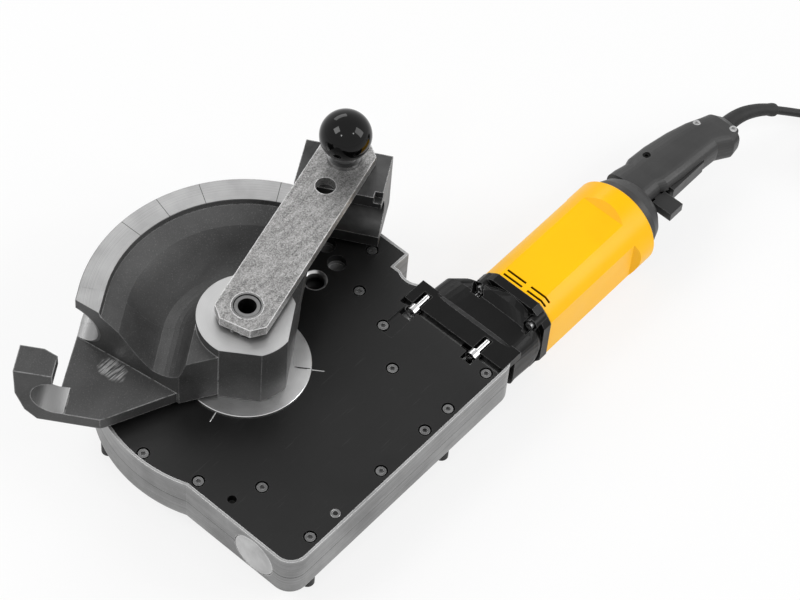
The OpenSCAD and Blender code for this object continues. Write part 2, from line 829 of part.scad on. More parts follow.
// Half section of the former, from the axis out, drawn in by inset
module former_section(inset) {
    edge = 1;
    low = former_bottom + inset;
    high = rim_top - inset;
    out = bend_r - inset;
    // the web slopes down from the rim, falls into a bowl and rises into the hub in a round fillet
    web_in = 1.5;
    web_start = 5;
    shelf_end = 8;
    shelf_w = 16;
    bowl_w = rim_in - web_in - shelf_w - hub_r - hub_fillet_r;
    bowl_drop = rim_top - web_low - web_start - shelf_end;
    web_curve = concat(
        [[rim_in - web_in, web_start]],
        [for (i = [0:web_steps])
            let (t = i / web_steps)
            [rim_in - web_in - shelf_w - bowl_w * t,
             web_start + shelf_end + bowl_drop * (sin(90 * t) * (1 - bowl_ease) + bowl_ease * t * t)]]);
    fillet = [for (a = [10:10:80])
        [hub_r + hub_fillet_r * (1 - sin(a)), web_low + hub_fillet_r * (1 - cos(a))]];
    difference() {
        polygon(concat(
            [[0, low], [out - edge, low], [out, low + edge], [out, high - edge],
             [out - edge, high], [rim_in + inset, high]],
            [for (p = web_curve) [p[0] + inset, high - p[1]]],
            [for (p = fillet) [p[0] - inset, p[1] - inset]],
            [[hub_r - edge, web_low + hub_fillet_r - edge], [0, web_low + hub_fillet_r - edge]]));
        translate([bend_r, groove_z])
            circle(r = groove_r + inset, $fn = round_fn);
        // hollow underside
        polygon([[hub_r + 18 - inset, former_bottom - cut], [rim_in - 8 + inset, former_bottom - cut],
                 [rim_in - 16 + inset, former_bottom + 12 + inset],
                 [hub_r + 26 - inset, former_bottom + 12 + inset]]);
    }
}

// Puts children in the clamping end's frame: x outwards, y on along the groove
module at_bend_end() {
    rotate([0, 0, bend_end])
        children();
}

module former() {
    far = 2 * bend_r;
    start_cut = start_flat + 1;
    arm_bottom = former_bottom + 1;
    rim_run = 13;
    web_corner = [46, 54];
    hub_chord = sqrt(hub_r * hub_r - hub_flat * hub_flat);
    hook_in = bend_r + 1.5;
    hook_out = bend_r + groove_r + hook_wall;
    hook_top = rim_top - 1;
    arm_root = 6;
    overlap = 1;
    color(cast_iron)
        difference() {
            union() {
                // the bend itself
                intersection() {
                    rotate_extrude($fn = 2 * round_fn)
                        former_section(0);
                    linear_extrude(rim_top + cut)
                        polygon([[0, 0],
                                 start_cut * [cos(start_flat_angle), sin(start_flat_angle)],
                                 start_cut * [cos(start_flat_angle), sin(start_flat_angle)]
                                 + far * [cos(start_flat_angle + 90), sin(start_flat_angle + 90)],
                                 far * [cos(70), sin(70)], far * [cos(bend_end), sin(bend_end)]]);
                }
                // straight run past the end of the bend, cut off by the slanting end wall
                at_bend_end()
                    intersection() {
                        translate([0, grip_len, 0])
                            rotate([90, 0, 0])
                                linear_extrude(grip_len + overlap)
                                    former_section(run_inset);
                        linear_extrude(rim_top + cut)
                            polygon([[0, -overlap], [bend_r, -overlap], [bend_r, rim_run],
                                     web_corner, [hub_chord - overlap, hub_flat + overlap],
                                     [hub_r * 0.3, hub_r * 0.8]]);
                    }
                // hub
                translate([0, 0, disc_top + rest_gap])
                    cylinder(r = hub_r, h = hub_top - disc_top - rest_gap, $fn = round_fn);
                // arm that carries the hook
                at_bend_end()
                    translate([0, 0, arm_bottom])
                        linear_extrude(arm_top - arm_bottom)
                            polygon([[5, 20], [web_corner[0] - 3, web_corner[1] - 4], [100, grip_len - 2],
                                     [104, grip_len], [hook_in, grip_len], [hook_in, grip_len - hook_w],
                                     [bend_r, rim_run], [bend_r - groove_r - 2, -arm_root],
                                     [5, -arm_root]]);
                // hook
                at_bend_end()
                    translate([0, grip_len, 0])
                        rotate([90, 0, 0])
                            linear_extrude(hook_w)
                                difference() {
                                    polygon([[104, arm_bottom], [hook_out - 17, arm_bottom],
                                             [hook_out - 7, arm_bottom + 11], [hook_out, groove_z],
                                             [hook_out, hook_top], [hook_in, hook_top],
                                             [hook_in, groove_z], [hook_in - 8, arm_top],
                                             [104, arm_top]]);
                                    translate([bend_r, groove_z])
                                        circle(r = groove_r + 0.3, $fn = round_fn);
                                }
            }
            // flats of the hub
            for (flat = [[start_flat, start_flat_angle, hub_r, far],
                         [hub_flat, hub_flat_angle, hub_chord, hub_r]])
                rotate([0, 0, flat[1]])
                    translate([flat[0], -flat[2], -cut])
                        cube([hub_r, flat[2] + flat[3], rim_top + 2 * cut]);
            // square of the spindle
            translate([-(spindle_square + fit_gap) / 2, -(spindle_square + fit_gap) / 2, -cut])
                cube([spindle_square + fit_gap, spindle_square + fit_gap, rim_top + 2 * cut]);
            // slanting corner of the hook's top
            at_bend_end()
                translate([hook_in - cut, grip_len - hook_w - cut, groove_z])
                    linear_extrude(rim_top)
                        polygon([[0, 0], [15, 0], [0, 6.5]]);
        }
}

// Worm shaft and spur gears

worm_half = 40;
worm_end = adapter_face + 20;
shaft_gear_x = adapter_face + 9;
shaft_gear_w = 10;
lay_gear_x = shaft_gear_x + shaft_gear_w + 4;
lay_gear_w = 8;
motor_pinion_x = worm_end + 2;
motor_pinion_end = lay_gear_x + lay_gear_w + 1;
ratio = gear_teeth / pinion_teeth;
gear_pitch_r = gear_teeth * gear_module / 2;
pinion_pitch_r = pinion_teeth * gear_module / 2;
lay_journal_r = 3.5;

// Points of the worm's thread: one turn in 24 rings, tapering out at both ends
function worm_thread(half, root, tip) =
    let (steps = 24, turns = 2 * half / worm_pitch, last = floor(turns * steps),
         root_w = worm_pitch * root_share, tip_w = worm_pitch * tip_share,
         foot_w = root_w + (root_w - tip_w) / (tip - root))
    [for (i = [0:last])
        let (a = 360 * (i / steps - turns / 2), x = worm_pitch * (i / steps - turns / 2),
             fade = min(1, min(i, last - i) / 8 + 0.3),
             top = root + (tip - root) * fade)
        [[x + foot_w, (root - 1) * cos(a), (root - 1) * sin(a)],
         [x + tip_w, top * cos(a), top * sin(a)],
         [x - tip_w, top * cos(a), top * sin(a)],
         [x - foot_w, (root - 1) * cos(a), (root - 1) * sin(a)]]];

module worm_shaft() {
    root = worm_pitch_r - worm_module * 1.05;
    worm_left = bearing_left + 1;
    color(steel) {
        translate([worm_left, motor_y, -axis_depth])
            rotate([0, 90, 0])
                rotate_extrude($fn = 32)
                    polygon([[0, 0], [worm_journal_r, 0], [worm_journal_r, -worm_left - worm_half - 12],
                             [root, -worm_left - worm_half - 6], [root, -worm_left + worm_half + 6],
                             [worm_journal_r, -worm_left + worm_half + 12],
                             [worm_journal_r, shaft_gear_x - worm_left],
                             [worm_journal_r - 2, shaft_gear_x - worm_left],
                             [worm_journal_r - 2, worm_end - worm_left], [0, worm_end - worm_left]]);
        translate([0, motor_y, -axis_depth])
            loft(worm_thread(worm_half, root, worm_tip_r));
    }
}

// Outline of a spur gear, its first tooth towards +x turned by phase teeth
module gear_outline(teeth, phase) {
    pitch_r = teeth * gear_module / 2;
    root_r = pitch_r - 1.1 * gear_module;
    tip_r = pitch_r + 0.75 * gear_module;
    base_w = gear_module * 0.85;
    pitch_w = gear_module * 0.55;
    tip_w = gear_module * 0.28;
    circle(r = root_r, $fn = round_fn);
    for (i = [0:teeth - 1])
        rotate([0, 0, (i + phase) * 360 / teeth])
            polygon([[root_r - gear_module, -base_w], [root_r, -base_w], [pitch_r, -pitch_w],
                     [tip_r, -tip_w], [tip_r, tip_w], [pitch_r, pitch_w], [root_r, base_w],
                     [root_r - gear_module, base_w]]);
}

// Turns a gear's outline so that its x points at world y
module spur(teeth, phase, width) {
    rotate([0, 0, 90])
        linear_extrude(width)
            gear_outline(teeth, phase);
}

module worm_shaft_gear() {
    color(steel)
        at_axis(shaft_gear_x)
            difference() {
                spur(gear_teeth, 0.5, shaft_gear_w);
                translate([0, 0, -cut])
                    cylinder(r = worm_journal_r - 2, h = shaft_gear_w + 2 * cut, $fn = small_fn);
            }
}

lay_left = adapter_face + 2;
lay_right = adapter_neck + 10;

module layshaft() {
    color(steel) {
        at_layshaft(lay_left)
            cylinder(r = lay_journal_r, h = lay_right - lay_left, $fn = small_fn);
        at_layshaft(shaft_gear_x - 1)
            spur(pinion_teeth, pinion_teeth / 2, shaft_gear_w + 3);
    }
}

module layshaft_gear() {
    color(steel)
        at_layshaft(lay_gear_x)
            difference() {
                spur(gear_teeth, 0.5 + gear_teeth / 2, lay_gear_w);
                translate([0, 0, -cut])
                    cylinder(r = lay_journal_r, h = lay_gear_w + 2 * cut, $fn = small_fn);
            }
}

module bearing_at_axis(x, outer, inner, width) {
    at_axis(x)
        ball_bearing(outer, inner + run_gap, width);
}

module worm_bearings() {
    color(steel)
        for (x = [bearing_left, bearing_right])
            bearing_at_axis(x, worm_bearing_r, worm_journal_r, worm_bearing_w);
}

lay_bearing_r = 8;
lay_bearing_w = 5;
lay_bearing_x = [lay_left, lay_right - lay_bearing_w];
front_bearing_r = 13;
front_bearing_w = 8;
front_bearing_x = motor_start - front_bearing_w - 2;
front_journal_r = 5;
rear_bearing_r = 11;
rear_bearing_w = 7;
rear_bearing_x = motor_end + 9;
rear_journal_r = 4;

module layshaft_bearings() {
    color(steel)
        for (x = lay_bearing_x)
            at_layshaft(x)
                ball_bearing(lay_bearing_r, lay_journal_r + run_gap, lay_bearing_w);
}

module armature_bearings() {
    color(steel) {
        bearing_at_axis(front_bearing_x, front_bearing_r, front_journal_r, front_bearing_w);
        bearing_at_axis(rear_bearing_x, rear_bearing_r, rear_journal_r, rear_bearing_w);
    }
}

// Motor adapter

lug_r = 6;
lug_reach = motor_r + 1;
lug_start = motor_start - 17;
lug_floor = 2;
lug_short = 1;
collar_over = 0.8;
lug_angles = [45, 135, 225, 315];
motor_screw_r = 2;
motor_screw_head_r = 3.6;
motor_screw_head_h = 3.4;
adapter_near = motor_y - motor_r - 0.5;
adapter_far = tongue_far - 8;
adapter_top = 2;
gear_room = 1.6;

module motor_adapter() {
    spigot_r = motor_r - motor_wall - fit_gap;
    n = 48;
    slot_r = adapter_screw_r + 1.2;
    color(plate_black)
        difference() {
            union() {
                // tongue that lies on the case, flush with the plate
                translate([tongue_left, -case_near + rim_w + plate_gap, -plate_t])
                    cube([adapter_face - tongue_left + 6,
                          case_near - rim_w + tongue_far - plate_gap, plate_t]);
                // body, squarish beside the case and round at the motor
                loft([cross_ring(adapter_face, adapter_near, adapter_far, -case_h - 1, -1, 7, n),
                      cross_ring(adapter_face + 4, adapter_near, adapter_far, -case_h - 3, adapter_top, 5, n),
                      cross_ring(adapter_neck - 3, adapter_near, adapter_far, -case_h - 9, adapter_top, 4, n),
                      cross_ring(adapter_neck + 4, adapter_near, adapter_far - 8, -axis_depth - 37,
                                 -axis_depth + 34, 2.6, n),
                      cross_ring(ring_start, motor_y - neck_end_r, motor_y + neck_end_r,
                                 -axis_depth - neck_end_r, -axis_depth + neck_end_r, 2, n),
                      cross_ring(ring_start + 3, motor_y - neck_end_r + 1, motor_y + neck_end_r - 1,
                                 -axis_depth - neck_end_r + 1, -axis_depth + neck_end_r - 1, 2, n)]);
                // ring and lugs that the motor is screwed to
                difference() {
                    at_axis(ring_start)
                        cylinder(r = motor_band_r + collar_over, h = motor_start - ring_start,
                                 $fn = round_fn);
                    at_axis(ring_start)
                        four_flats(motor_flat + collar_over, motor_start - ring_start + 1);
                }
                for (a = lug_angles)
                    at_axis(lug_start)
                        rotate([0, 0, a])
                            translate([lug_reach, 0, 0])
                                cylinder(r = lug_r, h = motor_start - lug_start - lug_short, $fn = small_fn);
                at_axis(ring_start)
                    cylinder(r = spigot_r, h = motor_start - ring_start + 5, $fn = round_fn);
            }
            // slots over the two long screws
            for (y = adapter_screw_y)
                translate([tongue_left - cut, y - slot_r, -adapter_screw_drop - slot_r])
                    cube([adapter_slot_len, 2 * slot_r, plate_t + slot_r]);
            // room of the worm shaft and its gear
            at_axis(adapter_face - cut)
                cylinder(r = worm_journal_r + 4, h = 20, $fn = small_fn);
            at_axis(shaft_gear_x - gear_room)
                cylinder(r = gear_pitch_r + gear_room, h = shaft_gear_w + 2 * gear_room + 1, $fn = round_fn);
            at_axis(shaft_gear_x)
                cylinder(r = pinion_pitch_r + gear_module + gear_room, h = front_bearing_x - shaft_gear_x + cut,
                         $fn = small_fn);
            // room of the layshaft and its gear
            at_layshaft(lay_left)
                cylinder(r = lay_bearing_r, h = lay_right - lay_left, $fn = small_fn);
            at_layshaft(lay_gear_x - gear_room)
                cylinder(r = gear_pitch_r + gear_room, h = lay_gear_w + 2 * gear_room, $fn = round_fn);
            // seat of the armature's front bearing
            at_axis(front_bearing_x)
                cylinder(r = front_bearing_r, h = case_right, $fn = round_fn);
            // threads of the long screws
            for (y = adapter_screw_y)
                translate([tongue_left, y, -adapter_screw_drop])
                    rotate([0, 90, 0])
                        cylinder(r = adapter_screw_r, h = adapter_screw_end - tongue_left, $fn = small_fn);
            for (a = lug_angles)
                at_axis(lug_start)
                    rotate([0, 0, a])
                        translate([lug_reach, 0, 0]) {
                            cylinder(r = motor_screw_r + fit_gap, h = case_right, $fn = small_fn);
                            // pocket that the screw is put in through
                            translate([-motor_screw_head_r - 1, -motor_screw_head_r - 1, -scallop_len])
                                cube([lug_r + 2 * motor_screw_head_r, 2 * motor_screw_head_r + 2,
                                      scallop_len + lug_floor]);
                        }
        }
}

tongue_left = plate_right + 6;
neck_end_r = motor_r - 1.3;
scallop_len = 7;
adapter_slot_len = adapter_face - plate_right - 7;
adapter_screw_end = adapter_face + 5;

module adapter_screws() {
    head_x = plate_right - 0.8;
    head_h = tongue_left - head_x - rest_gap;
    color(steel)
        for (y = adapter_screw_y)
            translate([head_x + head_h, y, -adapter_screw_drop])
                rotate([0, -90, 0])
                    socket_screw(adapter_screw_head_r, head_h, adapter_screw_r,
                                 adapter_screw_end - head_x - head_h);
}

// Motor

vent_w = 2.2;
motor_screw_depth = 16;
motor_flat = motor_r - 1;

module motor_housing() {
    step = 2;
    color(yellow)
        difference() {
            union() {
                at_axis(motor_start)
                    rotate_extrude($fn = 2 * round_fn)
                        polygon([[0, 0], [motor_band_r - step / 2, 0], [motor_band_r, step / 2],
                                 [motor_band_r, motor_end - motor_start - step],
                                 [motor_band_r - step, motor_end - motor_start],
                                 [0, motor_end - motor_start]]);
            }
            at_axis(motor_start - cut)
                cylinder(r = motor_r - motor_wall, h = motor_end, $fn = round_fn);
            // flats that leave round corners in front of the band
            at_axis(motor_start)
                four_flats(motor_flat, band_start - motor_start);
            for (a = lug_angles)
                at_axis(motor_start - cut)
                    rotate([0, 0, a])
                        translate([lug_reach, 0, 0])
                            cylinder(r = motor_screw_r, h = motor_screw_depth + 2, $fn = small_fn);
            // cooling slots, in pairs round the front
            for (side = [0, 180])
                for (pair = [0, 1])
                    for (row = [0, 1])
                        at_axis(motor_start + vent_x[row])
                            rotate([0, 0, side + vent_first + pair * vent_step])
                                rotate_extrude(angle = vent_arc, $fn = round_fn)
                                    translate([motor_r - motor_wall - cut, 0])
                                        square([4 * motor_wall, vent_w]);
        }
}

// Cuts four flats round the motor axis, each with a slope up to the full radius at its end
module four_flats(flat, len) {
    out = motor_band_r;
    for (a = [0:90:270])
        rotate([90, 0, a])
            linear_extrude(2 * out, center = true)
                polygon([[flat, -cut], [flat, len], [flat + out, len + out], [flat + out, -cut]]);
}

// Distances of the two rows of slots from the housing's front
vent_x = [2.6, 8];
vent_first = 151.5;
vent_step = 38;
vent_arc = 29.5;

module motor_screws() {
    color(steel)
        for (a = lug_angles)
            at_axis(lug_start + lug_floor)
                rotate([0, 0, a])
                    translate([lug_reach, 0, 0])
                        rotate([180, 0, 0])
                            socket_screw(motor_screw_head_r, motor_screw_head_h, motor_screw_r,
                                         motor_start - lug_start - lug_floor + motor_screw_depth);
}

stator_x = motor_start + 43;
stator_len = 56;
stator_r = motor_r - motor_wall;
pole_gap = 1;

module stator() {
    color(dark_steel)
        at_axis(stator_x)
            difference() {
                cylinder(r = stator_r, h = stator_len, $fn = round_fn);
                translate([0, 0, -cut])
                    cylinder(r = core_r + pole_gap, h = stator_len + 2 * cut, $fn = round_fn);
                for (a = [0, 180])
                    rotate([0, 0, a])
                        translate([core_r - 2, -coil_w / 2, -cut])
                            cube([coil_room, coil_w, stator_len + 2 * cut]);
            }
}

coil_w = 26;
coil_room = 9;

module field_coils() {
    over = 8;
    color(copper)
        for (a = [0, 180])
            at_axis(stator_x - over)
                rotate([0, 0, a])
                    difference() {
                        intersection() {
                            translate([core_r, -coil_w / 2 + fit_gap, 0])
                                cube([coil_room - 2 - fit_gap, coil_w - 2 * fit_gap, stator_len + 2 * over]);
                            tube_of(stator_r - 3, core_r + pole_gap + 1, stator_len + 2 * over);
                        }
                        translate([core_r - cut, -coil_w / 6, over / 2])
                            cube([coil_room + cut, coil_w / 3, stator_len + over]);
                    }
}

core_x = stator_x + 2;
core_len = stator_len - 4;
commutator_x = motor_end - 16;
commutator_len = 14;
commutator_r = 13;
fan_x = motor_start + 15;
fan_w = 10;
fan_r = motor_r - motor_wall - 3;
shaft_r = 5;

module armature_shaft() {
    color(steel) {
        at_axis(motor_pinion_x)
            spur(pinion_teeth, 0, motor_pinion_end - motor_pinion_x);
        at_axis(motor_pinion_end - cut / 2)
            cylinder(r = pinion_pitch_r - gear_module, h = front_bearing_x - motor_pinion_end + cut,
                     $fn = small_fn);
        at_axis(front_bearing_x - cut / 2)
            cylinder(r = shaft_r, h = rear_bearing_x - front_bearing_x - cut / 2, $fn = small_fn);
        at_axis(rear_bearing_x - 2 * cut)
            cylinder(r = rear_journal_r, h = rear_bearing_w + 2 * cut - fit_gap, $fn = small_fn);
    }
}

module armature_core() {
    slots = 12;
    slot_w = 4;
    slot_depth = 9;
    color(dark_steel)
        at_axis(core_x)
            difference() {
                cylinder(r = core_r, h = core_len, $fn = round_fn);
                translate([0, 0, -cut])
                    cylinder(r = shaft_r, h = core_len + 2 * cut, $fn = small_fn);
                for (i = [0:slots - 1])
                    rotate([0, 0, i * 360 / slots])
                        translate([core_r - slot_depth, -slot_w / 2, -cut])
                            cube([slot_depth + cut, slot_w, core_len + 2 * cut]);
            }
    // windings, with their heads at both ends of the core
    color(copper)
        for (x = [core_x - winding_over, core_x + core_len])
            at_axis(x)
                tube_of(core_r - 3, shaft_r, winding_over);
}

winding_over = 9;

module commutator() {
    bars = 24;
    slit = 0.5;
    color(copper)
        at_axis(commutator_x)
            difference() {
                cylinder(r = commutator_r, h = commutator_len, $fn = round_fn);
                translate([0, 0, -cut])
                    cylinder(r = shaft_r, h = commutator_len + 2 * cut, $fn = small_fn);
                for (i = [0:bars - 1])
                    rotate([0, 0, i * 360 / bars])
                        translate([commutator_r - 1.2, -slit / 2, -cut])
                            cube([2, slit, commutator_len + 2 * cut]);
            }
}

module cooling_fan() {
    blades = 13;
    blade_t = 1.6;
    disc_t = 2;
    hub = 10;
    color(black_plastic)
        at_axis(fan_x)
            difference() {
                union() {
                    cylinder(r = fan_r, h = disc_t, $fn = round_fn);
                    cylinder(r = hub, h = fan_w, $fn = small_fn);
                    for (i = [0:blades - 1])
                        rotate([0, 0, i * 360 / blades])
                            translate([hub - 2, -blade_t / 2, 0])
                                cube([fan_r - hub, blade_t, fan_w]);
                }
                translate([0, 0, -cut])
                    cylinder(r = shaft_r, h = fan_w + 2 * cut, $fn = small_fn);
            }
}

brush_w = 6;
brush_len = 11;
brush_angles = [90, 270];
holder_wall = 1.8;

module at_brush(a) {
    at_axis(commutator_x + commutator_len / 2)
        rotate([0, 0, a])
            translate([commutator_r + rest_gap, 0, 0])
                children();
}

module brush_holders() {
    reach = motor_r - motor_wall - commutator_r - rest_gap - fit_gap - 1;
    color(bronze)
        for (a = brush_angles)
            at_brush(a)
                difference() {
                    translate([2, -brush_w / 2 - holder_wall, -brush_w / 2 - holder_wall])
                        cube([reach - 2, brush_w + 2 * holder_wall, brush_w + 2 * holder_wall]);
                    translate([0, -brush_w / 2 - fit_gap / 2, -brush_w / 2 - fit_gap / 2])
                        cube([reach - holder_wall, brush_w + fit_gap, brush_w + fit_gap]);
                }
    // ring that carries the holders in the housing
    color(black_plastic)
        at_axis(commutator_x + commutator_len / 2 - brush_w / 2 - holder_wall)
            tube_of(motor_r - motor_wall - fit_gap, motor_r - motor_wall - fit_gap - 1.2,
                    brush_w + 2 * holder_wall);
}

module brushes() {
    color(rubber)
        for (a = brush_angles)
            at_brush(a)
                translate([0, -brush_w / 2, -brush_w / 2])
                    cube([brush_len, brush_w, brush_w]);
}

module brush_springs() {
    wire = 0.5;
    coils = 4;
    spring_len = motor_r - motor_wall - commutator_r - rest_gap - fit_gap - 1 - holder_wall - brush_len;
    pitch = spring_len / coils;
    color(steel)
        for (a = brush_angles)
            at_brush(a)
                translate([brush_len, 0, 0])
                    rotate([0, 90, 0])
                        for (i = [0:coils - 1])
                            translate([0, 0, (i + 0.5) * pitch])
                                rotate_extrude($fn = small_fn)
                                    translate([brush_w / 2 - 2 * wire, 0])
                                        circle(r = pitch / 2, $fn = 16);
}

module rear_cover() {
    spigot = 4;
    wall = 3;
    cap_r = motor_r - 2;
    neck_r = 20;
    color(black_plastic)
        at_axis(motor_end + fit_gap)
            difference() {
                union() {
                    rotate_extrude($fn = round_fn)
                        polygon([[0, -spigot], [motor_r - motor_wall - fit_gap, -spigot],
                                 [motor_r - motor_wall - fit_gap, 0], [cap_r, 0], [cap_r, 9],
                                 [cap_r - 3, 17], [cap_r - 8, 23], [neck_r, neck_start - motor_end - fit_gap],
                                 [0, neck_start - motor_end - fit_gap]]);
                }
                // hollow, with the rear bearing's boss left standing
                translate([0, 0, -spigot - cut])
                    tube_of(motor_r - motor_wall - wall, rear_bearing_r + wall, spigot + cut + 16);
                translate([0, 0, -spigot - cut])
                    cylinder(r = rear_bearing_r + wall + cut, h = spigot + cut + 6, $fn = small_fn);
                // seat of the rear bearing, and the way of the leads
                translate([0, 0, rear_bearing_x - motor_end - fit_gap])
                    cylinder(r = rear_bearing_r, h = rear_bearing_w, $fn = round_fn);
                translate([0, 0, -spigot - cut])
                    cylinder(r = shaft_r + 1, h = rear_bearing_x - motor_end + spigot + 2 * cut, $fn = small_fn);
            }
}

// Handle

// Stations of the handle along x as shares from the neck to the end, and there the near and
// far side and the half height, as shares of the handle's height
handle_x_share = [0, 0.06, 0.16, 0.22, 0.38, 0.60, 0.76, 0.87, 0.95, 1];
handle_near_share = [0.30, 0.30, 0.30, 0.42, 0.48, 0.52, 0.56, 0.80, 0.76, 0.52];
handle_far_share = [1.02, 1.00, 0.92, 0.98, 0.94, 0.80, 0.64, 0.48, 0.38, 0.16];
handle_half_share = [0.50, 0.50, 0.49, 0.50, 0.50, 0.50, 0.50, 0.50, 0.47, 0.34];

function handle_rings(inset, n) =
    [for (i = [0:len(handle_x_share) - 1])
        let (run = handle_end - neck_start,
             x = neck_start + fit_gap + (run - fit_gap) * handle_x_share[i],
             x_in = min(max(x, neck_start + fit_gap + inset), handle_end - inset))
        cross_ring(x_in, motor_y - handle_h * handle_near_share[i] + inset,
                   motor_y + handle_h * handle_far_share[i] - inset,
                   -axis_depth - handle_h * handle_half_share[i] + inset,
                   -axis_depth + handle_h * handle_half_share[i] - inset, 3, n)];

trigger_x = neck_start + 29;
trigger_t = 7;
trigger_h = 14;
trigger_out = motor_y - handle_h * 0.52;
switch_lever_x = neck_start + 7;
switch_lever_t = 9;
switch_lever_out = 33;
switch_lever_pivot = [switch_lever_x + switch_lever_w / 2, motor_y];
// Places of the handle's screws: shares of its height off the axis, and of its length
handle_screw_share = [[0.32, 0.80], [-0.50, 0.945], [0.60, 0.30]];
handle_screw_places = [for (p = handle_screw_share)
    [neck_start + (handle_end - neck_start) * p[1], motor_y + handle_h * p[0]]];
handle_screw_r = 1.8;
handle_screw_head_r = 3.6;
relief_root_r = 7.2;

module handle_space() {
    // opening of the trigger
    translate([trigger_x - 1.5, motor_y - handle_h, -axis_depth - trigger_h / 2 - 0.5])
        cube([trigger_len + 3, handle_h, trigger_h + 1]);
    // opening of the direction lever
    translate([switch_lever_x - 5, motor_y - handle_h, -axis_depth - switch_lever_t / 2 - 0.4])
        cube([switch_lever_w + 10, handle_h + 6, switch_lever_t + 0.8]);
    // hole of the strain relief
    translate([handle_end - 20, relief_at[1], relief_at[2]])
        rotate([0, 90, 0])
            cylinder(r = relief_root_r + fit_gap / 2, h = 40, $fn = small_fn);
}

module handle_half(top) {
    n = 40;
    keep_z = top ? -axis_depth + fit_gap / 4 : -axis_depth - handle_h;
    difference() {
        intersection() {
            loft(handle_rings(0, n));
            translate([neck_start - cut, motor_y - 2 * handle_h, keep_z])
                cube([handle_end, 4 * handle_h, handle_h - (top ? 0 : fit_gap / 4)]);
        }
        loft(handle_rings(handle_wall, n));
        handle_space();
        if (top)
            for (p = handle_screw_places)
                translate([p[0], p[1], -axis_depth])
                    cylinder(r = handle_screw_head_r + fit_gap, h = handle_h, $fn = small_fn);
    }
}

module handle_boss(p, low, high, hole) {
    translate([p[0], p[1], low])
        difference() {
            cylinder(r = handle_screw_head_r + 1.6, h = high - low, $fn = small_fn);
            translate([0, 0, -cut])
                cylinder(r = hole, h = high - low + 2 * cut, $fn = small_fn);
        }
}

boss_half = handle_h / 2 - handle_wall - 2;

module handle_shell_upper() {
    color(black_plastic) {
        handle_half(true);
        for (p = handle_screw_places)
            handle_boss(p, -axis_depth + fit_gap / 2, -axis_depth + boss_half, handle_screw_r + fit_gap);
    }
}

module handle_shell_lower() {
    color(black_plastic) {
        handle_half(false);
        for (p = handle_screw_places)
            handle_boss(p, -axis_depth - boss_half, -axis_depth - fit_gap / 2, handle_screw_r);
    }
}

module handle_screws() {
    color(steel)
        for (p = handle_screw_places)
            translate([p[0], p[1], -axis_depth + boss_half])
                socket_screw(handle_screw_head_r, 2.4, handle_screw_r, 2 * boss_half - 2);
}

contacts_y = 9;
contacts_depth = 12;
switch_len = 40;
switch_depth = 16;
switch_w = 15;

module switch_body() {
    gap_to_trigger = trigger_travel + 1;
    color(black_plastic)
        translate([trigger_x + 6, trigger_out + trigger_t + gap_to_trigger, -axis_depth - switch_w / 2])
            cube([switch_len, switch_depth, switch_w]);
    // reversing contacts behind the direction lever
    color(black_plastic)
        translate([switch_lever_x, motor_y + contacts_y, -axis_depth - switch_w / 2])
            cube([switch_lever_w, contacts_depth, switch_w]);
}

module trigger() {
    color(dark_steel)
        difference() {
            translate([trigger_x, trigger_out - 1, -axis_depth - trigger_h / 2])
                union() {
                    cube([trigger_len, trigger_t, trigger_h]);
                    // ear at the pivot
                    translate([trigger_len - 8, 0, trigger_h / 4])
                        cube([8, trigger_t + 4, trigger_h / 2]);
                }
            trigger_pin_hole(trigger_pin_r + run_gap);
        }
}

trigger_pin_r = 1.5;

module trigger_pin_hole(r) {
    translate([trigger_x + trigger_len - 4, trigger_out + trigger_t - 0.5, -axis_depth - trigger_h])
        cylinder(r = r, h = 2 * trigger_h, $fn = small_fn);
}

module trigger_pin() {
    color(steel)
        translate([trigger_x + trigger_len - 4, trigger_out + trigger_t - 0.5,
                   -axis_depth - handle_h / 2 + handle_wall + 2])
            cylinder(r = trigger_pin_r, h = handle_h - 2 * handle_wall - 4, $fn = small_fn);
}

module direction_lever() {
    hub_r2 = 8;
    color(dark_steel)
        translate([switch_lever_pivot[0], switch_lever_pivot[1], -axis_depth - switch_lever_t / 2])
            union() {
                cylinder(r = hub_r2, h = switch_lever_t, $fn = small_fn);
                translate([-hub_r2 / 2, -handle_h / 2, 0])
                    cube([hub_r2, handle_h / 2, switch_lever_t]);
                translate([-switch_lever_w / 2, -switch_lever_out, 0])
                    cube([switch_lever_w, switch_lever_out - handle_h * 0.36, switch_lever_t]);
            }
}

// Cord

relief_at = [handle_end - 9, motor_y - 4, -axis_depth];
// Route of the strain relief and of the cord's free stretch, chosen by hand
relief_route = [[492, -126, -24.5], [502, -126, -24.5], [515, -126.5, -25], [528, -128.5, -27],
                [541, -132, -31], [553, -136.5, -36], [563, -141, -41.5]];
cord_route = [[563, -141, -41.5], [574, -147, -48], [585, -153.5, -54.5], [596, -161, -60.5],
              [607, -170, -65.5], [618, -181, -68.5], [628, -194, -69], [636, -206.5, -69]];
cord_end = [645, -221, -69];
// The same for the stretch from the coil to the plug, as steps from the coil's end
tail_route = [[-16, 0, 0.3], [-24, 0, 2], [-32, 0, 5.5], [-40, 0, 10], [-46, 0, 12.8]];
tail_end = [-60, 0, 14];

function unit(v) = v / norm(v);

// A ring of n points square to the way from before to after
function path_ring(p, before, after, r, n) =
    let (t = unit(after - before), side = unit(cross([0, 0, 1], t)), up = cross(t, side))
    [for (i = [0:n - 1])
        let (a = 360 * i / n)
        p + r * (cos(a) * side + sin(a) * up)];

function path_rings(path, radii, n) =
    [for (i = [0:len(path) - 1])
        path_ring(path[i], path[max(0, i - 1)], path[min(len(path) - 1, i + 1)], radii[i], n)];

function path_length(path) =
    len(path) < 2 ? 0 : norm(path[1] - path[0]) + path_length([for (i = [1:len(path) - 1]) path[i]]);

// A tube that starts and ends square to what it meets
module cord_tube(path, n) {
    color(rubber)
        loft(path_rings(path, [for (p = path) cord_d / 2], n));
}

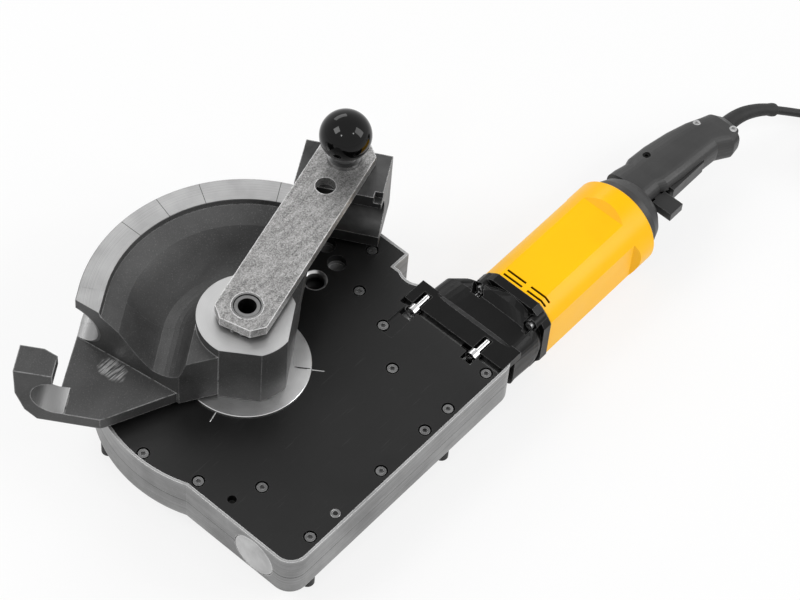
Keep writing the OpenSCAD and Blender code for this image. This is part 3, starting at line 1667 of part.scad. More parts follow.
module strain_relief() {
    tip_r = cord_d / 2 + 1.2;
    last = len(relief_route) - 1;
    // the relief ends square to the cord's first step
    route = [for (i = [0:last]) i < last ? relief_route[i]
        : relief_route[last - 1] + norm(relief_route[last] - relief_route[last - 1])
          * unit(relief_route[last] - relief_route[last - 1])];
    rings = path_rings(route, [for (i = [0:last])
        relief_root_r + (tip_r - relief_root_r) * max(0, i - 1) / (last - 1)], 24);
    color(rubber)
        loft(concat([for (i = [0:last - 1]) rings[i]],
                    [path_ring(relief_route[last], relief_route[last - 1], cord_route[1], tip_r, 24)]));
}

module cord() {
    last = len(cord_path) - 1;
    rings = path_rings(cord_path, [for (p = cord_path) cord_d / 2], 12);
    color(rubber)
        loft(concat([path_ring(cord_path[0], relief_route[len(relief_route) - 2], cord_path[1],
                               cord_d / 2, 12)],
                    [for (i = [1:last]) rings[i]]));
    cord_tube(tail_path, 12);
}

// The coil winds clockwise from above: in and out again in four layers, then down its outside
coil_pitch = cord_d * 1.1;
coil_layer_turns = 2.25;
coil_layers = 4;
coil_turns = coil_layer_turns * coil_layers;
coil_down_turns = 1 / 3;
coil_outer_r = coil_inner_r + coil_pitch * coil_layer_turns;
coil_start_angle = 30;
coil_steps = 24;
// Direction that the cord runs in where it meets the coil, and where it leaves it
coil_in = [sin(coil_start_angle), -cos(coil_start_angle), 0];
coil_out = [sin(coil_start_angle - 360 * coil_down_turns),
            -cos(coil_start_angle - 360 * coil_down_turns), 0];
coil_at = cord_end + cord_d * coil_in - coil_outer_r * [cos(coil_start_angle), sin(coil_start_angle), 0];

// Distance from the coil's middle after s turns
function coil_radius(s) =
    let (lap = s / coil_layer_turns, k = floor(lap), f = lap - k)
    s >= coil_turns ? coil_outer_r + coil_pitch * min(1, (s - coil_turns) / coil_down_turns * 2)
    : coil_outer_r - coil_pitch * coil_layer_turns * (k % 2 == 0 ? f : 1 - f);

// Height after s turns: a climb takes the half turn where the spiral reverses
function coil_height(s) =
    let (climbs = [for (k = [1:coil_layers - 1])
            min(1, max(0, (s - k * coil_layer_turns + 0.25) / 0.5))],
         down = min(1, max(0, (s - coil_turns) / coil_down_turns)),
         ease = down * down * (3 - 2 * down))
    coil_pitch * (climbs[0] + climbs[1] + climbs[2]) * (1 - ease);

function coil_point(s) =
    let (a = coil_start_angle - 360 * s, r = coil_radius(s))
    coil_at + [r * cos(a), r * sin(a), coil_height(s)];

coil_wound = [for (i = [0:round((coil_turns + coil_down_turns) * coil_steps)])
    coil_point(i / coil_steps)];
coil_end = coil_wound[len(coil_wound) - 1] + cord_d * coil_out;
coil_path = concat([cord_end], coil_wound, [coil_end]);
cord_path = concat(cord_route, [cord_end - cord_d * coil_in, cord_end]);
tail_path = concat([coil_end, coil_end + cord_d * coil_out],
                   [for (p = tail_route) coil_end + p],
                   [coil_end + tail_end + [cord_d, 0, 0], coil_end + tail_end]);

module cord_coil() {
    cord_tube(coil_path, 6);
}

// Least gap between the coil's turns, measured between its points
coil_gap = min([for (i = [0:len(coil_wound) - 1]) for (j = [i + coil_steps / 2:len(coil_wound) - 1])
    norm(coil_wound[i] - coil_wound[j])]) - cord_d;

plug_end = tail_path[len(tail_path) - 1];
plug_grip_len = 16;
plug_pin_len = 19;
plug_pin_r = 2.4;
plug_pin_gap = 19;

module plug() {
    color(rubber)
        translate(plug_end)
            rotate([0, -90, 0])
                rotate_extrude($fn = small_fn)
                    polygon([[0, 0], [cord_d / 2 + 2, 0], [cord_d / 2 + 4, plug_grip_len],
                             [plug_body_r - 4, plug_grip_len + 4], [plug_body_r, plug_grip_len + 9],
                             [plug_body_r, plug_body_len - 1], [plug_body_r - 1, plug_body_len],
                             [0, plug_body_len]]);
}

module plug_pins() {
    color(steel)
        for (y = [-plug_pin_gap / 2, plug_pin_gap / 2])
            translate([plug_end[0] - plug_body_len, plug_end[1] + y, plug_end[2]])
                rotate([0, -90, 0])
                    cylinder(r = plug_pin_r, h = plug_pin_len, $fn = small_fn);
}

// Back former, lever and pin

back_angle = lever_angle + back_turn;
back_top = shoulder_z;
groove_gap = 1;
bush_t = 3;

// Puts children at the lock pin, x pointing away from the spindle across the back former
module at_back() {
    translate([pin_at[0], pin_at[1], 0])
        rotate([0, 0, back_angle])
            children();
}

module back_former() {
    pin_in = pin_behind;
    notch = 7;
    edge = 1.5;
    // past the pin's own line, towards the start of the groove
    shift = 1.2;
    color(dark_steel)
        difference() {
            at_back()
                translate([0, back_len / 2 - shift, 0])
                    rotate([90, 0, 0])
                        linear_extrude(back_len)
                            difference() {
                                polygon([[-pin_in + groove_gap, back_bottom],
                                         [back_behind - edge, back_bottom],
                                         [back_behind, back_bottom + edge], [back_behind, back_top - edge],
                                         [back_behind - edge, back_top],
                                         [-pin_in + groove_gap, back_top]]);
                                translate([-pin_in, groove_z])
                                    circle(r = groove_r + 0.3, $fn = round_fn);
                            }
            at_back()
                translate([0, 0, -cut])
                    cylinder(r = lock_pin_r + bush_t, h = back_top + 2 * cut, $fn = round_fn);
            at_back()
                translate([-pin_in - cut, -back_len / 2 - shift - cut, back_top - notch])
                    cube([notch + cut + groove_gap, notch + cut, notch + cut]);
        }
}

module back_former_bush() {
    color(bronze)
        at_back()
            // reaches down to the plate, so that the back former stands on it
            translate([0, 0, rest_gap])
                tube_of(lock_pin_r + bush_t, lock_pin_r + run_gap, back_top - rest_gap);
}

module at_lever() {
    rotate([0, 0, lever_angle])
        translate([0, 0, lever_z])
            children();
}

nose_bush_r = 13.3;

module support_lever() {
    front = pin_reach + lever_front;
    half = lever_w / 2;
    c = lever_chamfer;
    color(steel)
        at_lever()
            difference() {
                linear_extrude(lever_t)
                    polygon([[-lever_back, -half + c], [-lever_back + c, -half], [front - c, -half],
                             [front, -half + c], [front, half - c], [front - c, half],
                             [-lever_back + c, half], [-lever_back, half - c]]);
                translate([0, 0, -cut])
                    cylinder(r = nose_bush_r, h = lever_t + 2 * cut, $fn = round_fn);
                translate([spare_hole_reach, 0, -cut])
                    cylinder(r = spare_hole_r, h = lever_t + 2 * cut, $fn = round_fn);
                translate([pin_reach, 0, -cut])
                    cylinder(r = lock_pin_r + bush_t, h = lever_t + 2 * cut, $fn = round_fn);
            }
}

module lever_nose_bush() {
    color(steel)
        at_lever()
            tube_of(nose_bush_r, spindle_nose_r + run_gap, lever_t);
}

module lever_pin_bush() {
    color(steel)
        at_lever()
            translate([pin_reach, 0, 0])
                tube_of(lock_pin_r + bush_t, lock_pin_r + run_gap, lever_t);
}

pin_collar_r = 15;
pin_collar_h = 4;
knob_base_r = 20;
knob_shank_r = 6;

module lock_pin() {
    top = lever_z + lever_t + rest_gap;
    lead = 2;
    knob_low = knob_lift - sqrt(knob_r * knob_r - knob_base_r * knob_base_r);
    color(steel)
        translate([pin_at[0], pin_at[1], 0])
            rotate_extrude($fn = round_fn)
                polygon([[0, -pin_depth + rest_gap], [lock_pin_r - lead, -pin_depth + rest_gap],
                         [lock_pin_r, -pin_depth + rest_gap + lead], [lock_pin_r, top],
                         [pin_collar_r, top], [pin_collar_r, top + pin_collar_h],
                         [pin_collar_r - 3, top + pin_collar_h + 1],
                         [pin_collar_r - 3, lever_z + lever_t + knob_low],
                         [knob_shank_r, lever_z + lever_t + knob_low],
                         [knob_shank_r, lever_z + lever_t + knob_lift], [0, lever_z + lever_t + knob_lift]]);
}

module ball_knob() {
    low = -sqrt(knob_r * knob_r - knob_base_r * knob_base_r);
    color(black_plastic)
        translate([pin_at[0], pin_at[1], lever_z + lever_t + knob_lift])
            difference() {
                sphere(r = knob_r, $fn = round_fn);
                translate([-knob_r - cut, -knob_r - cut, low - 2 * knob_r])
                    cube([2 * knob_r + 2 * cut, 2 * knob_r + 2 * cut, 2 * knob_r]);
                translate([0, 0, -knob_r - cut])
                    cylinder(r = knob_shank_r, h = knob_r + cut, $fn = small_fn);
            }
}

echo(cord_length = path_length(cord_path) + path_length(coil_path) + path_length(tail_path));
echo(coil_gap = coil_gap);

case_lower();
case_upper();
case_screws();
feet();
foot_screws();
top_plate();
plate_screws();
bore_plug();
pin_bushes();
spindle_bushes();
spindle_seal();
worm_bearings();
motor_adapter();
adapter_screws();
layshaft_bearings();
armature_bearings();
motor_housing();
motor_screws();
stator();
field_coils();
brush_holders();
brushes();
brush_springs();
rear_cover();
handle_shell_upper();
handle_shell_lower();
handle_screws();
switch_body();
trigger();
trigger_pin();
direction_lever();
strain_relief();
cord();
cord_coil();
plug();
plug_pins();
worm_wheel_rim();
worm_wheel_hub();
wheel_key();
spindle();
drive_disc();
former();
retaining_ring();
worm_shaft();
worm_shaft_gear();
layshaft();
layshaft_gear();
armature_shaft();
armature_core();
commutator();
cooling_fan();
back_former();
back_former_bush();
support_lever();
lever_nose_bush();
lever_pin_bush();
lock_pin();
ball_knob();
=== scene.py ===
"""Electric pipe bender on a bench case: camera, mains cord, finishes and small details."""
import math

import bmesh
import bpy
from mathutils import Matrix, Vector


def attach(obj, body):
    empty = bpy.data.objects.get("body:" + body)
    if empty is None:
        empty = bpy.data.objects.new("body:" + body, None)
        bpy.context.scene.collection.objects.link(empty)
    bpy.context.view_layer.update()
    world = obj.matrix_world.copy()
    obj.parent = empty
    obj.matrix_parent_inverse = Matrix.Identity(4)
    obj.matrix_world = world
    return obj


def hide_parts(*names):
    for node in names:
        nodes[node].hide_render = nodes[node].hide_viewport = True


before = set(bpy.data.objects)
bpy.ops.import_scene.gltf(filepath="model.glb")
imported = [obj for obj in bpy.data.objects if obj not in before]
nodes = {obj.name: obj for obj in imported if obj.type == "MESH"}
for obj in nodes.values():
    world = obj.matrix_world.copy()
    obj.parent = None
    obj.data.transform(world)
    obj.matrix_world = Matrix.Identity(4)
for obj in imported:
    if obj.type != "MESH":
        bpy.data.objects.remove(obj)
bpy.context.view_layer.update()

MM = 0.001
MOTOR_Y = -122 * MM
MOTOR_Z = -24.5 * MM
FLOOR_Z = -73 * MM


def linked(name, data):
    """A new object with that data, in the scene."""
    made = bpy.data.objects.new(name, data)
    bpy.context.scene.collection.objects.link(made)
    return made


# Camera

FOCAL_PIXELS = 2903.626
PHOTO_WIDTH = 800
SENSOR = 36.0

camera_right = Vector((0.65816, -0.75063, 0.05814))
camera_down = Vector((-0.58728, -0.56019, -0.58420))
camera_forward = Vector((0.47108, 0.35036, -0.80952))
camera_place = Vector((-1.026568, -0.916774, 2.000736))

camera_data = bpy.data.cameras.new("camera")
camera_data.sensor_width = SENSOR
camera_data.lens = FOCAL_PIXELS * SENSOR / PHOTO_WIDTH
camera_data.clip_start = 0.01
camera_data.clip_end = 50
turn = Matrix((camera_right, -camera_down, -camera_forward)).transposed().to_4x4()
scene = bpy.context.scene
scene.camera = linked("camera", camera_data)
scene.camera.matrix_world = Matrix.Translation(camera_place) @ turn
scene.view_settings.view_transform = "Standard"


# Mesh helpers


def new_piece(name, verts, faces, smooth=True):
    """A mesh object in metres, with its place in its mesh and its faces pointing outwards."""
    mesh = bpy.data.meshes.new(name)
    mesh.from_pydata([tuple(v) for v in verts], [], faces)
    shell = bmesh.new()
    shell.from_mesh(mesh)
    bmesh.ops.remove_doubles(shell, verts=shell.verts, dist=1e-6)
    bmesh.ops.recalc_face_normals(shell, faces=shell.faces)
    shell.to_mesh(mesh)
    shell.free()
    if smooth:
        mesh.shade_smooth()
    return linked(name, mesh)


def joined(name, pieces):
    """One piece made of several, which are removed."""
    shell = bmesh.new()
    for piece in pieces:
        shell.from_mesh(piece.data)
    mesh = bpy.data.meshes.new(name)
    shell.to_mesh(mesh)
    shell.free()
    for piece in pieces:
        bpy.data.objects.remove(piece)
    return linked(name, mesh)


def ring_frame(before, after):
    """Sideways and upwards directions square to the way from before to after."""
    along = (after - before).normalized()
    side = Vector((0, 0, 1)).cross(along).normalized()
    return side, along.cross(side)


def sweep(name, path, outline_at):
    """A closed tube along path; outline_at(i) gives the outline's (side, up) points there."""
    verts, faces = [], []
    last = len(path) - 1
    for i, middle in enumerate(path):
        side, up = ring_frame(path[max(0, i - 1)], path[min(last, i + 1)])
        outline = outline_at(i)
        verts += [middle + side * s + up * u for s, u in outline]
    count = len(outline)
    for i in range(last):
        for j in range(count):
            k = (j + 1) % count
            faces.append((i * count + j, i * count + k, (i + 1) * count + k, (i + 1) * count + j))
    faces.append(tuple(range(count)))
    faces.append(tuple(range(last * count, (last + 1) * count)))
    return new_piece(name, verts, faces)


def circle(radius, count):
    """Points of a circle, as (side, up)."""
    return [(radius * math.cos(math.tau * k / count), radius * math.sin(math.tau * k / count))
            for k in range(count)]


LATHE_SHARP = math.radians(35)


def lathe(name, profile, place, rotation, count):
    """A solid of revolution: profile is (radius, along) in mm, rotation takes +Z to its axis."""
    verts, faces = [], []
    for radius, along in profile:
        for k in range(count):
            a = math.tau * k / count
            p = Vector((radius * math.cos(a), radius * math.sin(a), along)) * MM
            verts.append(place + rotation @ p)
    rows = len(profile)
    for i in range(rows - 1):
        for k in range(count):
            n = (k + 1) % count
            faces.append((i * count + k, i * count + n, (i + 1) * count + n, (i + 1) * count + k))
    piece = new_piece(name, verts, faces)
    piece.data.set_sharp_from_angle(angle=LATHE_SHARP)
    return piece


def catmull(points, steps):
    """A smooth line through points, with steps pieces between each two."""
    line = []
    for i in range(len(points) - 1):
        p0 = points[max(0, i - 1)]
        p1, p2 = points[i], points[i + 1]
        p3 = points[min(len(points) - 1, i + 2)]
        for k in range(steps):
            t = k / steps
            line.append(0.5 * ((2 * p1) + (p2 - p0) * t + (2 * p0 - 5 * p1 + 4 * p2 - p3) * t * t
                               + (3 * p1 - p0 - 3 * p2 + p3) * t ** 3))
    line.append(points[-1].copy())
    return line


# Mains cord: the same route and coil as the CAD's

CORD_D = 8 * MM
relief_route = [Vector(p) * MM for p in (
    (492, -126, -24.5), (502, -126, -24.5), (515, -126.5, -25), (528, -128.5, -27),
    (541, -132, -31), (553, -136.5, -36), (563, -141, -41.5))]
cord_route = [Vector(p) * MM for p in (
    (563, -141, -41.5), (574, -147, -48), (585, -153.5, -54.5), (596, -161, -60.5),
    (607, -170, -65.5), (618, -181, -68.5), (628, -194, -69), (636, -206.5, -69))]
cord_end = Vector((645, -221, -69)) * MM
tail_route = [Vector(p) * MM for p in (
    (-16, 0, 0.3), (-24, 0, 2), (-32, 0, 5.5), (-40, 0, 10), (-46, 0, 12.8))]
tail_end = Vector((-60, 0, 14)) * MM

COIL_PITCH = CORD_D * 1.1
COIL_INNER_R = 37 * MM
LAYER_TURNS = 2.25
LAYERS = 4
COIL_TURNS = LAYER_TURNS * LAYERS
CLIMB_TURNS = 0.5
DOWN_TURNS = 1 / 3
COIL_OUTER_R = COIL_INNER_R + COIL_PITCH * LAYER_TURNS
COIL_START = math.radians(30)
COIL_STEPS = 24


def level(angle):
    """Direction of the cord where it lies on the coil at angle, wound clockwise from above."""
    return Vector((math.sin(angle), -math.cos(angle), 0))


coil_in = level(COIL_START)
coil_out = level(COIL_START - math.tau * DOWN_TURNS)
coil_at = cord_end + CORD_D * coil_in - COIL_OUTER_R * Vector(
    (math.cos(COIL_START), math.sin(COIL_START), 0))


def coil_point(turns):
    """Place of the cord's middle after that many turns of the coil."""
    lap = turns / LAYER_TURNS
    layer = math.floor(lap)
    share = lap - layer
    inwards = share if layer % 2 == 0 else 1 - share
    radius = COIL_OUTER_R - COIL_PITCH * LAYER_TURNS * inwards
    down = 0
    if turns >= COIL_TURNS:
        down = min(1, (turns - COIL_TURNS) / DOWN_TURNS)
        radius = COIL_OUTER_R + COIL_PITCH * min(1, 2 * down)
    climb = sum(min(1, max(0, (turns - k * LAYER_TURNS) / CLIMB_TURNS + 0.5))
                for k in range(1, LAYERS))
    height = COIL_PITCH * climb * (1 - down * down * (3 - 2 * down))
    a = COIL_START - math.tau * turns
    return coil_at + Vector((radius * math.cos(a), radius * math.sin(a), height))


wound = [coil_point(i / COIL_STEPS)
         for i in range(round((COIL_TURNS + DOWN_TURNS) * COIL_STEPS) + 1)]
coil_end = wound[-1] + CORD_D * coil_out
plug_at = coil_end + tail_end
cord_line = (cord_route + [cord_end - CORD_D * coil_in, cord_end] + wound
             + [coil_end, coil_end + CORD_D * coil_out] + [coil_end + p for p in tail_route]
             + [plug_at + Vector((CORD_D, 0, 0)), plug_at])

cord_curve = bpy.data.curves.new("mains_cord", "CURVE")
cord_curve.dimensions = "3D"
cord_curve.bevel_depth = CORD_D / 2
cord_curve.bevel_resolution = 3
cord_curve.resolution_u = 3
cord_curve.use_fill_caps = True
spline = cord_curve.splines.new("BEZIER")
spline.bezier_points.add(len(cord_line) - 1)
for knot, place in zip(spline.bezier_points, cord_line):
    knot.co = place
    knot.handle_left_type = "AUTO"
    knot.handle_right_type = "AUTO"
mains_cord = linked("mains_cord", cord_curve)


TIE_WIDTH = 14 * MM
TIE_THICK = 1.1 * MM
TIE_CORNER = 4 * MM
TIE_CLEAR = 5.2 * MM
TIE_LOW = -3.6 * MM
TIE_HIGH = 3.4 * COIL_PITCH + 1.4 * MM
TIE_SHARP = math.radians(40)


def strap(name, angle):
    """A flat strap right round the coil's bundle, at an angle of the coil."""
    out = Vector((math.cos(angle), math.sin(angle), 0))
    along = Vector((-math.sin(angle), math.cos(angle), 0))
    up = Vector((0, 0, 1))
    inner = COIL_INNER_R - TIE_CLEAR + TIE_CORNER
    outer = COIL_OUTER_R + TIE_CLEAR - TIE_CORNER
    low = TIE_LOW + TIE_CORNER
    high = TIE_HIGH - TIE_CORNER
    loop = []
    for cx, cz, start in ((outer, high, 0), (inner, high, 90), (inner, low, 180), (outer, low, 270)):
        for k in range(7):
            a = math.radians(start + 15 * k)
            loop.append((cx, cz, math.cos(a), math.sin(a)))
    verts, faces = [], []
    for cx, cz, ca, sa in loop:
        for r in (TIE_CORNER, TIE_CORNER - TIE_THICK):
            for s in (-TIE_WIDTH / 2, TIE_WIDTH / 2):
                verts.append(coil_at + out * (cx + r * ca) + up * (cz + r * sa) + along * s)
    n = len(loop)
    for i in range(n):
        a, b = 4 * i, 4 * ((i + 1) % n)
        faces += [(a, a + 1, b + 1, b), (a + 2, b + 2, b + 3, a + 3), (a, b, b + 2, a + 2),
                  (a + 1, a + 3, b + 3, b + 1)]
    piece = new_piece(name, verts, faces)
    piece.data.set_sharp_from_angle(angle=TIE_SHARP)
    return piece


coil_ties = [strap("coil_tie_a", math.radians(75)), strap("coil_tie_b", math.radians(255))]


# Plug: a round body with a finger grip

toward_pins = Matrix.Rotation(-math.pi / 2, 3, "Y")
plug_profile = [(0, 0), (5.0, 0), (5.8, 0.8), (6.2, 2.6), (5.4, 3.4), (5.4, 4.6), (6.6, 5.4),
                (6.9, 7.2), (6.0, 8.0), (6.0, 9.2), (7.3, 10.0), (7.6, 11.8), (6.7, 12.6),
                (6.8, 14.0), (8.0, 15.6), (11.5, 18.2), (15.2, 21.2), (16.8, 24.2),
                (16.2, 27.5), (16.2, 31.5), (17.0, 34.5), (17.9, 36.0), (18.0, 37.0),
                (18.0, 44.6), (17.6, 45.6), (16.8, 46.0), (0, 46.0)]
plug_body = lathe("plug_body", plug_profile, plug_at, toward_pins, 72)


# Low ring for the head of the plate's near row's second screw, which the solids don't have

screw_profile = [(2.1, -0.3), (4.2, -0.3), (4.2, 0.15), (3.9, 0.35), (2.3, 0.35), (2.1, 0.15),
                 (2.1, -0.3)]
row_screw_head = lathe("row_screw_head", screw_profile, Vector((-58, -153, 0)) * MM,
                       Matrix.Identity(3), 48)


# Strain relief: a tapered sleeve with a lip where the cord comes out

SLEEVE_START_R = 8.9 * MM
SLEEVE_MOST_R = 8.4 * MM
SLEEVE_TAPER = 3.7 * MM
SLEEVE_LIP = 0.9 * MM
LIP_START = 0.88

relief_line = catmull(relief_route, 6)
relief_last = len(relief_line) - 1


def relief_outline(i):
    """Circle of the sleeve at a point of its line: a slow taper and a rounded lip at the end."""
    share = i / relief_last
    radius = SLEEVE_START_R - SLEEVE_TAPER * share ** 0.8
    if share > LIP_START:
        radius += SLEEVE_LIP * math.sin(math.pi * (share - LIP_START) / (1 - LIP_START)) ** 0.5
    return circle(min(radius, SLEEVE_MOST_R), 32)


cord_sleeve = sweep("cord_sleeve", relief_line, relief_outline)


# Field coils: a lacquered wire wound in layers round a flat oval

WIRE_PITCH = 1.26 * MM
WIRE_R = 0.6 * MM
TURNS_WIDE = 6
WIRE_LAYERS = 5
CORNER_POINTS = 6
WINDING_LONG = 28.6 * MM
WINDING_WIDE = 5.2 * MM
WINDING_CORNER = 2.4 * MM
WINDING_X = 280 * MM
WINDING_OFF = 24.3 * MM


def oval_turn(middle, long, wide, corner, spread, rise):
    """Points of one turn that grows by spread and climbs by rise along its way."""
    line = []
    spots = [(1, 1, 0), (-1, 1, 90), (-1, -1, 180), (1, -1, 270)]
    for q, (sx, sy, start) in enumerate(spots):
        for k in range(CORNER_POINTS + 1):
            share = (q + k / (CORNER_POINTS + 1)) / 4
            grow = spread * share
            a = math.radians(start + 90 * k / CORNER_POINTS)
            line.append(middle + Vector((
                sx * (long - corner) + (corner + grow) * math.cos(a),
                sy * (wide - corner) + (corner + grow) * math.sin(a), rise * share)))
    return line


def flat_winding(name, middle):
    """One unbroken wire: out and in by turns, a layer above the last each time."""
    line = []
    for layer in range(WIRE_LAYERS):
        for turn_no in range(TURNS_WIDE):
            outwards = layer % 2 == 0
            step = turn_no if outwards else TURNS_WIDE - 1 - turn_no
            last = turn_no == TURNS_WIDE - 1
            reach = step * WIRE_PITCH
            spread = 0 if last else (WIRE_PITCH if outwards else -WIRE_PITCH)
            low = (layer - (WIRE_LAYERS - 1) / 2) * WIRE_PITCH
            line += oval_turn(middle + Vector((0, 0, low)), WINDING_LONG + reach,
                              WINDING_WIDE + reach, WINDING_CORNER + reach, spread,
                              WIRE_PITCH if last else 0)
    return sweep(name, line[:-4 * CORNER_POINTS], lambda i: circle(WIRE_R, 6))


field_windings = joined("field_windings", [
    flat_winding("winding", Vector((WINDING_X, MOTOR_Y, MOTOR_Z + off)))
    for off in (WINDING_OFF, -WINDING_OFF)])


# Geometry Nodes: pieces that repeat round an axis, and a wound spring


def put(tree, kind, inputs=None, **settings):
    """A node with its settings and its inputs, each a value or the socket that feeds it."""
    made = tree.nodes.new(kind)
    for name, value in settings.items():
        setattr(made, name, value)
    for key, value in (inputs or {}).items():
        if isinstance(value, bpy.types.NodeSocket):
            tree.links.new(value, made.inputs[key])
        else:
            made.inputs[key].default_value = value
    return made


def geometry_tree(name, sizes):
    """An empty geometry tree with named inputs: sizes is (label, socket type) pairs."""
    tree = bpy.data.node_groups.new(name, "GeometryNodeTree")
    for label, kind in sizes:
        tree.interface.new_socket(label, in_out="INPUT", socket_type=kind)
    tree.interface.new_socket("Geometry", in_out="OUTPUT", socket_type="NodeSocketGeometry")
    return tree, put(tree, "NodeGroupInput").outputs, put(tree, "NodeGroupOutput").inputs


def ribs_tree():
    """Rounded ribs that stand round the Z axis, each Size long, wide and high."""
    tree, sizes, out = geometry_tree("ribs_round_axis", [
        ("Count", "NodeSocketInt"), ("Radius", "NodeSocketFloat"), ("Size", "NodeSocketVector"),
        ("Material", "NodeSocketMaterial")])
    places = put(tree, "GeometryNodeMeshCircle",
                 {"Vertices": sizes["Count"], "Radius": sizes["Radius"]})
    ball = put(tree, "GeometryNodeMeshUVSphere", {"Segments": 10, "Rings": 7, "Radius": 0.5})
    rib = put(tree, "GeometryNodeTransform",
              {"Geometry": ball.outputs["Mesh"], "Scale": sizes["Size"]})
    where = put(tree, "GeometryNodeInputPosition")
    facing = put(tree, "FunctionNodeAlignRotationToVector", {"Vector": where.outputs["Position"]},
                 axis="X", pivot_axis="Z")
    standing = put(tree, "GeometryNodeInstanceOnPoints", {
        "Points": places.outputs["Mesh"], "Instance": rib.outputs["Geometry"],
        "Rotation": facing.outputs["Rotation"]})
    real = put(tree, "GeometryNodeRealizeInstances", {"Geometry": standing.outputs["Instances"]})
    smooth = put(tree, "GeometryNodeSetShadeSmooth", {"Geometry": real.outputs["Geometry"]})
    painted = put(tree, "GeometryNodeSetMaterial",
                  {"Geometry": smooth.outputs["Geometry"], "Material": sizes["Material"]})
    tree.links.new(painted.outputs["Geometry"], out["Geometry"])
    return tree


def spring_tree():
    """A round wire wound about the Z axis."""
    tree, sizes, out = geometry_tree("wound_spring", [
        ("Turns", "NodeSocketFloat"), ("Radius", "NodeSocketFloat"), ("Length", "NodeSocketFloat"),
        ("Wire Radius", "NodeSocketFloat"), ("Material", "NodeSocketMaterial")])
    coil = put(tree, "GeometryNodeCurveSpiral", {
        "Resolution": 20, "Rotations": sizes["Turns"], "Start Radius": sizes["Radius"],
        "End Radius": sizes["Radius"], "Height": sizes["Length"]})
    wire = put(tree, "GeometryNodeCurvePrimitiveCircle",
               {"Resolution": 8, "Radius": sizes["Wire Radius"]})
    wound_wire = put(tree, "GeometryNodeCurveToMesh", {
        "Curve": coil.outputs["Curve"], "Profile Curve": wire.outputs["Curve"],
        "Fill Caps": True})
    smooth = put(tree, "GeometryNodeSetShadeSmooth", {"Geometry": wound_wire.outputs["Mesh"]})
    real = put(tree, "GeometryNodeRealizeInstances", {"Geometry": smooth.outputs["Geometry"]})
    painted = put(tree, "GeometryNodeSetMaterial",
                  {"Geometry": real.outputs["Geometry"], "Material": sizes["Material"]})
    tree.links.new(painted.outputs["Geometry"], out["Geometry"])
    return tree


def grown(name, tree, sizes, place, rotation):
    """A plain mesh of what a geometry tree makes with those sizes, turned and put in place."""
    host = linked(name + "_tree", bpy.data.meshes.new(name + "_tree"))
    modifier = host.modifiers.new("tree", "NODES")
    modifier.node_group = tree
    for item in tree.interface.items_tree:
        if item.in_out == "INPUT" and item.name in sizes:
            modifier[item.identifier] = sizes[item.name]
    host.update_tag()
    graph = bpy.context.evaluated_depsgraph_get()
    mesh = bpy.data.meshes.new_from_object(host.evaluated_get(graph), depsgraph=graph)
    bpy.data.objects.remove(host)
    mesh.name = name
    mesh.transform(Matrix.Translation(place) @ rotation.to_4x4())
    return linked(name, mesh)


# Shader groups that several finishes share


def shader_tree(name, values, outputs):
    """An empty shader group with float inputs, each a label and a value, and float outputs."""
    tree = bpy.data.node_groups.new(name, "ShaderNodeTree")
    for label, value in values:
        socket = tree.interface.new_socket(label, in_out="INPUT", socket_type="NodeSocketFloat")
        socket.default_value = value
    for label in outputs:
        tree.interface.new_socket(label, in_out="OUTPUT", socket_type="NodeSocketFloat")
    return tree, put(tree, "NodeGroupInput").outputs, put(tree, "NodeGroupOutput").inputs


def math_node(tree, operation, first, second=0.0):
    """The value of one sum."""
    return put(tree, "ShaderNodeMath", {0: first, 1: second}, operation=operation).outputs[0]


def times(tree, first, second):
    """One value by another."""
    return math_node(tree, "MULTIPLY", first, second)


def plus(tree, first, second):
    """Two values together."""
    return math_node(tree, "ADD", first, second)


def minus(tree, first, second):
    """One value less another."""
    return math_node(tree, "SUBTRACT", first, second)


def distance(tree, first, second):
    """How far a place is from an axis, by its two coordinates across that axis."""
    across = put(tree, "ShaderNodeCombineXYZ", {"X": first, "Y": second}).outputs["Vector"]
    return put(tree, "ShaderNodeVectorMath", {0: across}, operation="LENGTH").outputs["Value"]


def toward(tree, x, y, angle):
    """How far a place lies from the Z axis in the direction of an angle in radians."""
    return plus(tree, times(tree, x, math.cos(angle)), times(tree, y, math.sin(angle)))


def within(tree, value, middle, half):
    """1 where a value is nearer to the middle than half, else 0."""
    return put(tree, "ShaderNodeMath", {0: value, 1: middle, 2: half}, operation="COMPARE").outputs[0]


def ramp(tree, value, low, high, to_low=0.0, to_high=1.0):
    """A value between low and high, mapped to the range given, and held within it."""
    return put(tree, "ShaderNodeMapRange", {
        "Value": value, "From Min": low, "From Max": high, "To Min": to_low, "To Max": to_high,
    }).outputs["Result"]


def edge_wear_group():
    """Mask of the edges that rub bright, broken up."""
    tree, given, out = shader_tree("edge_wear", [("Radius", 0.0008), ("Breakup", 240.0)], ["Mask"])
    place = put(tree, "ShaderNodeTexCoord").outputs["Object"]
    rounded = put(tree, "ShaderNodeBevel", {"Radius": given["Radius"]}, samples=4)
    flat = put(tree, "ShaderNodeNewGeometry")
    facing = put(tree, "ShaderNodeVectorMath", {
        0: rounded.outputs["Normal"], 1: flat.outputs["Normal"]}, operation="DOT_PRODUCT")
    edge = ramp(tree, facing.outputs["Value"], 0.99, 0.9)
    patches = put(tree, "ShaderNodeTexNoise", {
        "Vector": place, "Scale": given["Breakup"], "Detail": 6.0, "Roughness": 0.65})
    broken = ramp(tree, patches.outputs["Fac"], 0.34, 0.5)
    tree.links.new(times(tree, edge, broken), out["Mask"])
    return tree


